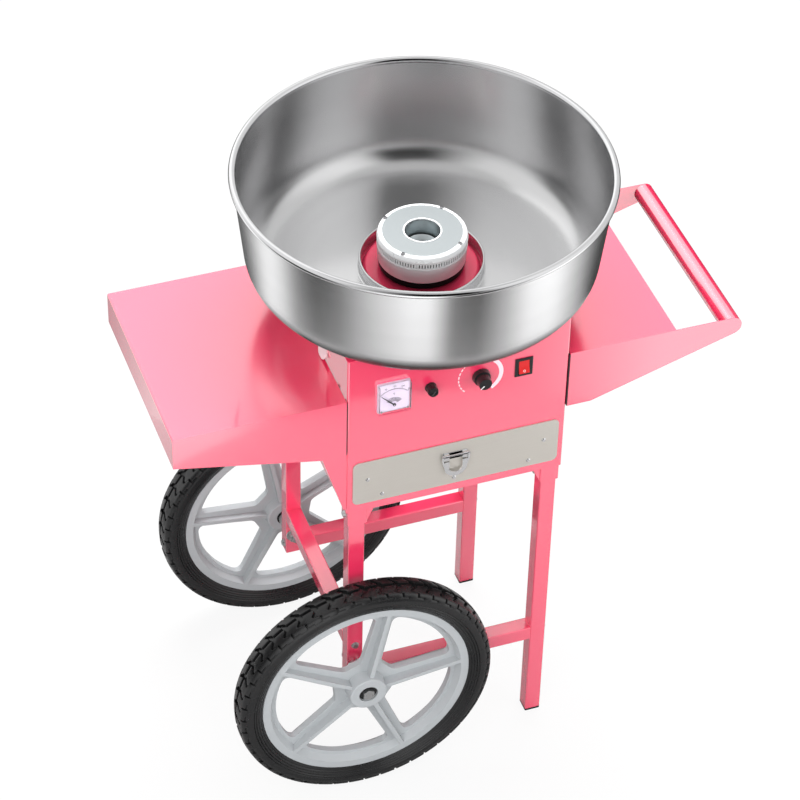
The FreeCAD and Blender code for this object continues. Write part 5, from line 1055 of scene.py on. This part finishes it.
class CART_OT_tyres(PieceOperator, bpy.types.Operator):
    """Builds each tyre: a ringed carcass with two rows of interlocking tread blocks"""
    bl_idname = "cart.tyres"
    bl_label = "Tyres"

    shoulder = 0.0184            # from the crown in to the widest line of the section
    squareness = 2.5             # 2 is a round section, more is squarer
    lug_end = 66.0               # the blocks end at this angle from the crown
    fade_start = 30.0            # from here the blocks get lower
    bulge = 0.0018               # the blocks swell by this on the shoulder
    bead = 0.0162                # half the width of the tyre at the rim
    height = 0.0367              # from the crown in to the rim
    reach = 0.030                # length of the flat block that stands for 90 degrees
    offset = 0.12                # how far one row is turned against the other, in blocks

    def section(self, angle, sink=0.0):
        """Place on the section, (across, radius), at an angle from the crown; sink goes inwards."""
        power = 2 / self.squareness
        across = (self.half - sink * 0.35) * math.sin(angle) ** power
        radius = self.outer - self.shoulder + (self.shoulder - sink) * math.cos(angle) ** power
        return across, radius

    def fade(self, angle):
        """0 on the crown, rising to 1 where the blocks end."""
        share = (math.degrees(angle) - self.fade_start) / (self.lug_end - self.fade_start)
        return min(1.0, max(0.0, share))

    def base_sink(self, angle, size):
        """How deep the grooves' floor lies."""
        return size.tread * (1 - 0.6 * self.fade(angle))

    def carcass(self, centre, size):
        """The tyre under its tread, with fine rings on the sidewalls."""
        crown = [self.section(math.radians(a), self.base_sink(math.radians(a), size))
                 for a in range(0, 91, 6)]
        waist = crown[-1]
        foot = self.outer - self.height

        def sidewall(radius, dip=0.0):
            t = (waist[1] - radius) / (waist[1] - foot)
            return waist[0] + (self.bead - waist[0]) * t ** 2.2 - dip, radius

        side = []
        step = (waist[1] - foot) / (size.rings + 1)
        for k in range(size.rings):
            radius = waist[1] - step * (k + 0.8)
            side += [sidewall(radius + size.ring_width), sidewall(radius, size.ring_width),
                     sidewall(radius - size.ring_width)]
        half = crown + side + [(self.bead, foot), (self.bead - 0.002, foot + 0.0002)]
        outline = [(r, a) for a, r in reversed(half)] + [(r, -a) for a, r in half[1:]]
        outline.append(outline[0])
        return turned("tyre_carcass", outline, centre, axis="Y", steps=144)

    def block_outline(self, pitch, groove):
        """One tread block, (round the tyre, angle from the crown), between two stepped grooves."""
        wide = groove / pitch
        thin = wide * 0.42
        line = [(0.0, 3.5, wide), (0.02, 9, wide), (0.30, 24, wide * 0.7), (0.30, 32, thin),
                (-0.10, 37, thin), (-0.10, self.lug_end, thin)]
        left = [(u + gap, a) for u, a, gap in line]
        right = [(u + 1 - gap, a) for u, a, gap in line[:-1]]
        right.append((0.90 - thin, self.lug_end - 10))
        foot = [(0.46, self.lug_end), (0.46, self.lug_end - 10)]
        return [(u * pitch, a / 90.0 * self.reach, 0.0) for u, a in left + foot + right[::-1]]

    def tread_block(self, size):
        """A flat block of the outline, cut across and rounded, ready to be laid on the tyre."""
        pitch = 2 * math.pi * self.outer / size.lugs
        tile = slab("tread_block", self.block_outline(pitch, size.groove), (0, 0, 1.0))
        cuts = [((0, self.reach * self.lug_end / 90.0 * k / 9, 0), (0, 1, 0)) for k in range(1, 9)]
        cuts += [((pitch * k / 4, 0, 0), (1, 0, 0)) for k in range(1, 4)]
        open_mesh(tile)
        for place, normal in cuts:
            bpy.ops.mesh.select_all(action="SELECT")
            bpy.ops.mesh.bisect(plane_co=place, plane_no=normal)
        close_mesh()
        return tile

    def lay(self, mesh, centre, start, side, size):
        """Bends a flat block round the tyre and down its shoulder."""
        for point in mesh.vertices:
            u, w, top = point.co
            angle = w / self.reach * math.pi / 2
            base = self.base_sink(angle, size)
            fade = self.fade(angle)
            sink = base + 0.0005
            if top > 0.5:
                sink = base * 0.25 * fade - self.bulge * math.sin(math.pi * fade)
            across, radius = self.section(angle, sink)
            turn = start + u / self.outer
            point.co = (centre.x + radius * math.cos(turn), centre.y + side * across,
                        centre.z + radius * math.sin(turn))

    def execute(self, context):
        size = context.scene.cart_wheel
        for node in ("tyre_front", "tyre_back"):
            low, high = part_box(node)
            self.outer = (high.z - low.z) / 2
            self.half = (high.y - low.y) / 2
            centre = middle(node)
            tile = self.tread_block(size)
            blocks = []
            for side, offset in ((-1, 0.0), (1, self.offset)):
                for k in range(size.lugs):
                    lug = copied(tile, "tread_block_copy")
                    self.lay(lug.data, centre, (k + offset) * 2 * math.pi / size.lugs, side, size)
                    blocks.append(lug)
            bpy.data.objects.remove(tile)
            tread = soften(tidy_mesh(joined("tread", blocks)), 0.0006, 2, 40.0)
            tyre = joined("treaded_" + node, [self.carcass(centre, size), tread])
            stands_for(smooth(tyre, 40.0), finish("Tyre rubber"), node)
        return {"FINISHED"}


class CART_OT_axles(PieceOperator, bpy.types.Operator):
    """Finishes the bushes, axle bolts and nuts of both wheels"""
    bl_idname = "cart.axles"
    bl_label = "Axles and bushes"

    def execute(self, context):
        for node in ("hub_bushes_front", "hub_bushes_back"):
            dress(node, "black_" + node, finish("Black moulding"), 0.0003)
        for node in ("axle_bolts", "axle_nuts"):
            dress(node, "zinc_" + node, finish("Zinc plate"), 0.0003)
        return {"FINISHED"}


class CART_OT_drawer(PieceOperator, bpy.types.Operator):
    """Finishes the drawer: brushed front, tray, runners and front screws"""
    bl_idname = "cart.drawer"
    bl_label = "Drawer"

    def execute(self, context):
        dress("drawer_front", "brushed_drawer_front", brushed_front_steel(), 0.0003, 2, 40.0)
        dress("drawer_screws", "drawer_front_screws", finish("Bright chrome"))
        coat_nodes(finish("Galvanised steel"), "drawer_box", "drawer_runners")
        return {"FINISHED"}


class CART_OT_ring_pull(PieceOperator, bpy.types.Operator):
    """Finishes the chromed ring pull and its plate"""
    bl_idname = "cart.ring_pull"
    bl_label = "Ring pull"

    def execute(self, context):
        dress("ring_pull", "chromed_ring", finish("Bright chrome"), 0.0005, 3)
        dress("pull_plate", "chromed_pull_plate", finish("Bright chrome"), 0.0003)
        return {"FINISHED"}


class CART_OT_voltmeter(PieceOperator, bpy.types.Operator):
    """Finishes the voltmeter and prints its scale"""
    bl_idname = "cart.voltmeter"
    bl_label = "Voltmeter"

    sweep = 45.0                 # the scale runs this far to each side of upright, in degrees
    screw_inset = 0.0045         # screws in from the lower corners

    def execute(self, context):
        dress("voltmeter_case", "meter_case", finish("Meter plate"), 0.0003)
        dress("voltmeter_cover", "clear_meter_cover", clear_cover(), 0.0004, 2, 40.0)
        dress("voltmeter_needle", "meter_needle", finish("Needle black"))
        self.print_scale(context.scene.cart_controls)
        return {"FINISHED"}

    def print_scale(self, controls):
        """Arc, ticks and numbers on the dial, round the needle's pivot."""
        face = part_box("voltmeter_cover")[1].y - PRINT
        low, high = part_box("voltmeter_case")
        pivot = Vector(((low.x + high.x) / 2, face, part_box("voltmeter_needle")[0].z + 0.0024))
        radius = controls.scale_radius
        parts = [printed_arc("scale_arc", pivot, radius, radius + 0.0005, -self.sweep - 1, self.sweep + 1)]
        for k in range(25):
            angle = -self.sweep + 2 * self.sweep * k / 24
            long = 0.0030 if k % 6 == 0 else 0.0016
            parts.append(printed_arc("scale_tick", pivot, radius, radius + long, angle - 0.35,
                                     angle + 0.35, steps=1))
        parts.append(printed_arc("fan_edge", pivot, 0.0118, 0.0123, -62, 62))
        for k in range(11):
            angle = -60 + 12 * k
            parts.append(printed_arc("fan_line", pivot, 0.0050, 0.0112, angle - 2.6, angle + 2.6, steps=2))
        parts.append(printed_text("volt_mark", "V", 0.0050, pivot + Vector((0, 0, 0.0185))))
        for k in range(5):
            angle = math.radians(-self.sweep + 2 * self.sweep * k / 4)
            place = pivot + Vector((math.sin(angle), 0, math.cos(angle))) * (radius + 0.0050)
            parts.append(printed_text("scale_number", str(k * controls.scale_step), 0.0036, place))
        carried_by(joined("meter_scale", parts), finish("Black print"), "voltmeter_case")
        foot = [bar_on_front("meter_screw", x, low.y, low.z + self.screw_inset, 0.0030, 0.0030, 45)
                for x in (low.x + self.screw_inset, high.x - self.screw_inset)]
        carried_by(joined("meter_screws", foot), finish("Small screw steel"), "voltmeter_case")


class CART_OT_fuse(PieceOperator, bpy.types.Operator):
    """Finishes the fuse holder and its fluted cap"""
    bl_idname = "cart.fuse"
    bl_label = "Fuse holder"

    def execute(self, context):
        dress("fuse_holder", "moulded_fuse_holder", finish("Black moulding"), 0.0002)
        dress("fuse_cap", "moulded_fuse_cap", finish("Black moulding"), 0.0003)
        centre = middle("fuse_cap")
        # The cap's slot is a raised bright chrome bar: partly the slot, partly a painted highlight.
        slot = bar_on_front("fuse_cap_slot_glint", centre.x, front_of("fuse_cap"), centre.z, 0.0075, 0.0014, 35)
        carried_by(slot, finish("Bright chrome"), "fuse_cap")
        return {"FINISHED"}


class CART_OT_regulator(PieceOperator, bpy.types.Operator):
    """Finishes the regulator knob and prints the dial round it"""
    bl_idname = "cart.regulator"
    bl_label = "Heat regulator"

    pointer_offset = 0.0045      # pointer from the knob's centre, to the left and down
    dial_line = 0.0016           # width of the thin printed dashes

    def execute(self, context):
        controls = context.scene.cart_controls
        coat_nodes(finish("Zinc plate"), "regulator_body")
        dress("regulator_knob", "moulded_knob", finish("Black moulding"), 0.0004)
        centre = middle("regulator_knob")
        pointer = bar_on_front("knob_pointer", centre.x - self.pointer_offset, front_of("regulator_knob"),
                               centre.z - self.pointer_offset, 0.0070, 0.0013, 45)
        carried_by(pointer, finish("White print"), "regulator_knob")
        centre.y = front_of("cabinet_body")
        outer, band = controls.dial_outer, controls.dial_band
        parts = [printed_arc("dial_low", centre, outer - self.dial_line, outer, start, start + 8)
                 for start in range(-135, 9, 12)]
        parts.append(printed_arc("dial_step", centre, outer - band * 0.6, outer, 8, 26))
        parts.append(printed_arc("dial_high", centre, outer - band, outer, 32, 148))
        carried_by(joined("printed_dial", parts), finish("Pale pink print"), "cabinet_body")
        return {"FINISHED"}


class CART_OT_power_switch(PieceOperator, bpy.types.Operator):
    """Finishes the rocker switch and marks its off side"""
    bl_idname = "cart.power_switch"
    bl_label = "Power switch"

    mark_drop = 0.0062           # the off mark below the rocker's centre

    def execute(self, context):
        dress("switch_body", "switch_bezel", finish("Black moulding"), 0.0003)
        rocker = dress("switch_rocker", "red_rocker", finish("Red rocker plastic"), 0.0004, 2)
        centre = middle("switch_rocker")
        mark = printed_on(rocker, "off_mark", "O", 0.0050, centre.x, centre.z - self.mark_drop)
        carried_by(mark, finish("White print"), "switch_rocker")
        return {"FINISHED"}


class CART_OT_drive(PieceOperator, bpy.types.Operator):
    """Finishes the hidden drive: shaft, bearings, motor, belt, slip rings and cord gland"""
    bl_idname = "cart.drive"
    bl_label = "Drive"

    def execute(self, context):
        coat_nodes(finish("Ground steel"), "spindle_shaft", "spindle_bearings")
        coat_nodes(finish("Turned pulley alloy"), "spindle_pulley", "motor_pulley")
        for name, node in (("Slip ring copper", "slip_rings"), ("Machined iron", "bearing_housing"),
                           ("Galvanised steel", "motor_deck"), ("Dark motor paint", "motor_body"),
                           ("Belt rubber", "drive_belt"), ("Black phenolic", "brush_holder")):
            coat_nodes(finish(name), node)
        dress("cord_gland", "moulded_cord_gland", finish("Black moulding"), 0.0003)
        return {"FINISHED"}


# (azimuth from the front in degrees, brightness) of the cards that mirrors see
LOW_CARDS = ((-180, 0.02), (-154, 0.04), (-137, 0.35), (-123, 1.2), (-108, 1.2), (-96, 0.35),
             (-82, 0.0), (-66, 0.12), (-43, 0.90), (-26, 1.4), (-16, 1.4), (-4, 0.12), (11, 0.02),
             (27, 0.65), (42, 1.4), (60, 1.4), (75, 0.72), (96, 0.14), (108, 0.0), (180, 0.02))
HIGH_CARDS = ((-180, 1.25), (-160, 1.2), (-131, 0.90), (-65, 0.80), (-25, 0.02), (8, 0.0),
              (22, 0.80), (40, 1.0), (66, 0.95), (100, 0.70), (124, 0.75), (149, 0.8), (180, 1.25))
WHITE = (1.0, 1.0, 1.0)


class CART_OT_stage(PieceOperator, bpy.types.Operator):
    """Sets the floor, the lamps, the cards that metal reflects and the camera"""
    bl_idname = "cart.stage"
    bl_label = "Studio"

    lamp_distance = 3.2

    def execute(self, context):
        stage = context.scene.cart_stage
        context.scene.view_settings.view_transform = "Standard"
        self.world(context, stage)
        self.floor()
        behind = 180.0 + math.degrees(stage.azimuth)
        self.lamp("front_key", stage, -32.0, 28.0, 3.0, stage.key)
        self.lamp("right_fill", stage, 48.0, 12.0, 2.4, stage.fill)
        self.lamp("top_softbox", stage, behind, 70.0, 2.4, stage.sky)
        self.mirror_ring("low_card_ring", 0.72, 0.20, 0.90, LOW_CARDS)
        self.mirror_ring("high_card_ring", 4.0, 0.95, 9.0, HIGH_CARDS)
        self.camera(context, stage)
        return {"FINISHED"}

    def world(self, context, stage):
        """Even light, and plain white behind the cart for the camera and through glass."""
        world = bpy.data.worlds.new("Studio")
        context.scene.world = world
        world.use_nodes = True
        tree = world.node_tree
        tree.nodes.clear()
        even = output(tree, "ShaderNodeBackground", WHITE, stage.world)
        white = output(tree, "ShaderNodeBackground", WHITE, 1.0)
        path = add(tree, "ShaderNodeLightPath").outputs
        seen = output(tree, "ShaderNodeMath", path["Is Camera Ray"], path["Is Transmission Ray"],
                      operation="MAXIMUM")
        add(tree, "ShaderNodeOutputWorld", output(tree, "ShaderNodeMixShader", seen, even, white))

    def floor(self):
        """A wide pale floor that looks white and keeps the cart's shadow."""
        nothing_selected()
        bpy.ops.mesh.primitive_plane_add(size=24.0, location=(0, 0, 0))
        floor = named("studio_floor")
        material, tree = empty_material("Studio floor")
        plain = output(tree, "ShaderNodeBsdfDiffuse", (0.30, 0.30, 0.30))
        shaded = output(tree, "ShaderNodeBsdfDiffuse", (0.07, 0.07, 0.07))
        glow = output(tree, "ShaderNodeEmission", WHITE, 0.89)
        both = output(tree, "ShaderNodeAddShader", shaded, glow)
        seen = add(tree, "ShaderNodeLightPath").outputs["Is Camera Ray"]
        add(tree, "ShaderNodeOutputMaterial", output(tree, "ShaderNodeMixShader", seen, plain, both))
        floor.data.materials.append(material)

    def lamp(self, name, stage, azimuth, elevation, size, power):
        """A square area lamp that looks at the target; azimuth runs from the front."""
        way = compass(math.radians(azimuth), math.radians(elevation))
        data = bpy.data.lights.new(name, "AREA")
        data.size = size
        data.energy = power
        lamp = bpy.data.objects.new(name, data)
        bpy.context.collection.objects.link(lamp)
        lamp.location = Vector(stage.target) + way * self.lamp_distance
        lamp.rotation_euler = way.to_track_quat("Z", "Y").to_euler()
        lamp.visible_glossy = False

    def mirror_ring(self, name, radius, low, high, tones):
        """A ring of light and dark card that only mirrors see; tones are (azimuth, brightness)."""
        material, tree = empty_material(name)
        place = add(tree, "ShaderNodeTexCoord").outputs["Object"]
        split = add(tree, "ShaderNodeSeparateXYZ", place).outputs
        away = output(tree, "ShaderNodeMath", split["Y"], -1.0, operation="MULTIPLY")
        turn = output(tree, "ShaderNodeMath", split["X"], away, operation="ARCTAN2")
        share = output(tree, "ShaderNodeMapRange", turn, -math.pi, math.pi)
        ramp = add(tree, "ShaderNodeValToRGB", share)
        stops = ramp.color_ramp.elements
        stops.remove(stops[1])
        stops[0].position = 0.0
        for k, (azimuth, tone) in enumerate(tones):
            stop = stops[0] if k == 0 else stops.new((azimuth + 180.0) / 360.0)
            stop.color = (tone, tone, tone, 1.0)
        glow = output(tree, "ShaderNodeEmission", ramp.outputs["Color"])
        add(tree, "ShaderNodeOutputMaterial", glow)
        ring = turned(name, [(radius, low), (radius, high)], (0, 0, 0), steps=96)
        ring.data.materials.append(material)
        ring.visible_camera = False
        ring.visible_diffuse = False
        ring.visible_shadow = False
        ring.visible_transmission = False

    def camera(self, context, stage):
        """A long lens above the front left, with a slight roll."""
        roll = stage.roll
        back = compass(stage.azimuth, stage.elevation)
        right = (-back).cross(Vector((0, 0, 1))).normalized()
        up = right.cross(-back)
        across = right * math.cos(roll) + up * math.sin(roll)
        upward = up * math.cos(roll) - right * math.sin(roll)
        data = bpy.data.cameras.new("product_camera")
        data.sensor_width = 36.0
        data.lens = stage.lens
        data.clip_end = 60.0
        camera = bpy.data.objects.new("product_camera", data)
        context.collection.objects.link(camera)
        turn = Matrix((across, upward, back)).transposed().to_4x4()
        camera.matrix_world = Matrix.Translation(Vector(stage.target) + back * stage.distance) @ turn
        context.scene.camera = camera


# ---------------------------------------------------------------------------
# Panel and registration
# ---------------------------------------------------------------------------

SETTINGS = (("cart_paint", CartPaint), ("cart_bowl", CartBowl), ("cart_wheel", CartWheel),
            ("cart_controls", CartControls), ("cart_stage", CartStage))

OPERATORS = (CART_OT_frame_paint, CART_OT_cabinet, CART_OT_leg_ends, CART_OT_fasteners, CART_OT_bowl,
             CART_OT_bowl_clips, CART_OT_spinner_head, CART_OT_wheels, CART_OT_tyres, CART_OT_axles,
             CART_OT_drawer, CART_OT_ring_pull, CART_OT_voltmeter, CART_OT_fuse, CART_OT_regulator,
             CART_OT_power_switch, CART_OT_drive, CART_OT_stage)


class CART_PT_pieces(bpy.types.Panel):
    """Lists the cart's sizes, colours and pieces"""
    bl_idname = "CART_PT_pieces"
    bl_label = "Cotton Candy Cart"
    bl_space_type = "VIEW_3D"
    bl_region_type = "UI"
    bl_category = "Cart"

    def draw(self, context):
        for setting, group in SETTINGS:
            box = self.layout.box()
            box.label(text=group.__doc__)
            for name in group.__annotations__:
                box.prop(getattr(context.scene, setting), name)
        for operator in OPERATORS:
            self.layout.operator(operator.bl_idname)


def register():
    for setting, group in SETTINGS:
        bpy.utils.register_class(group)
        setattr(bpy.types.Scene, setting, PointerProperty(type=group))
    for operator in OPERATORS:
        bpy.utils.register_class(operator)
    bpy.utils.register_class(CART_PT_pieces)


def unregister():
    bpy.utils.unregister_class(CART_PT_pieces)
    for operator in reversed(OPERATORS):
        bpy.utils.unregister_class(operator)
    for setting, group in reversed(SETTINGS):
        delattr(bpy.types.Scene, setting)
        bpy.utils.unregister_class(group)


def main():
    register()
    bpy.ops.cart.frame_paint()
    bpy.ops.cart.cabinet()
    bpy.ops.cart.leg_ends()
    bpy.ops.cart.fasteners()
    bpy.ops.cart.bowl()
    bpy.ops.cart.bowl_clips()
    bpy.ops.cart.spinner_head()
    bpy.ops.cart.wheels()
    bpy.ops.cart.tyres()
    bpy.ops.cart.axles()
    bpy.ops.cart.drawer()
    bpy.ops.cart.ring_pull()
    bpy.ops.cart.voltmeter()
    bpy.ops.cart.fuse()
    bpy.ops.cart.regulator()
    bpy.ops.cart.power_switch()
    bpy.ops.cart.drive()
    bpy.ops.cart.stage()


if __name__ == "__main__":
    main()
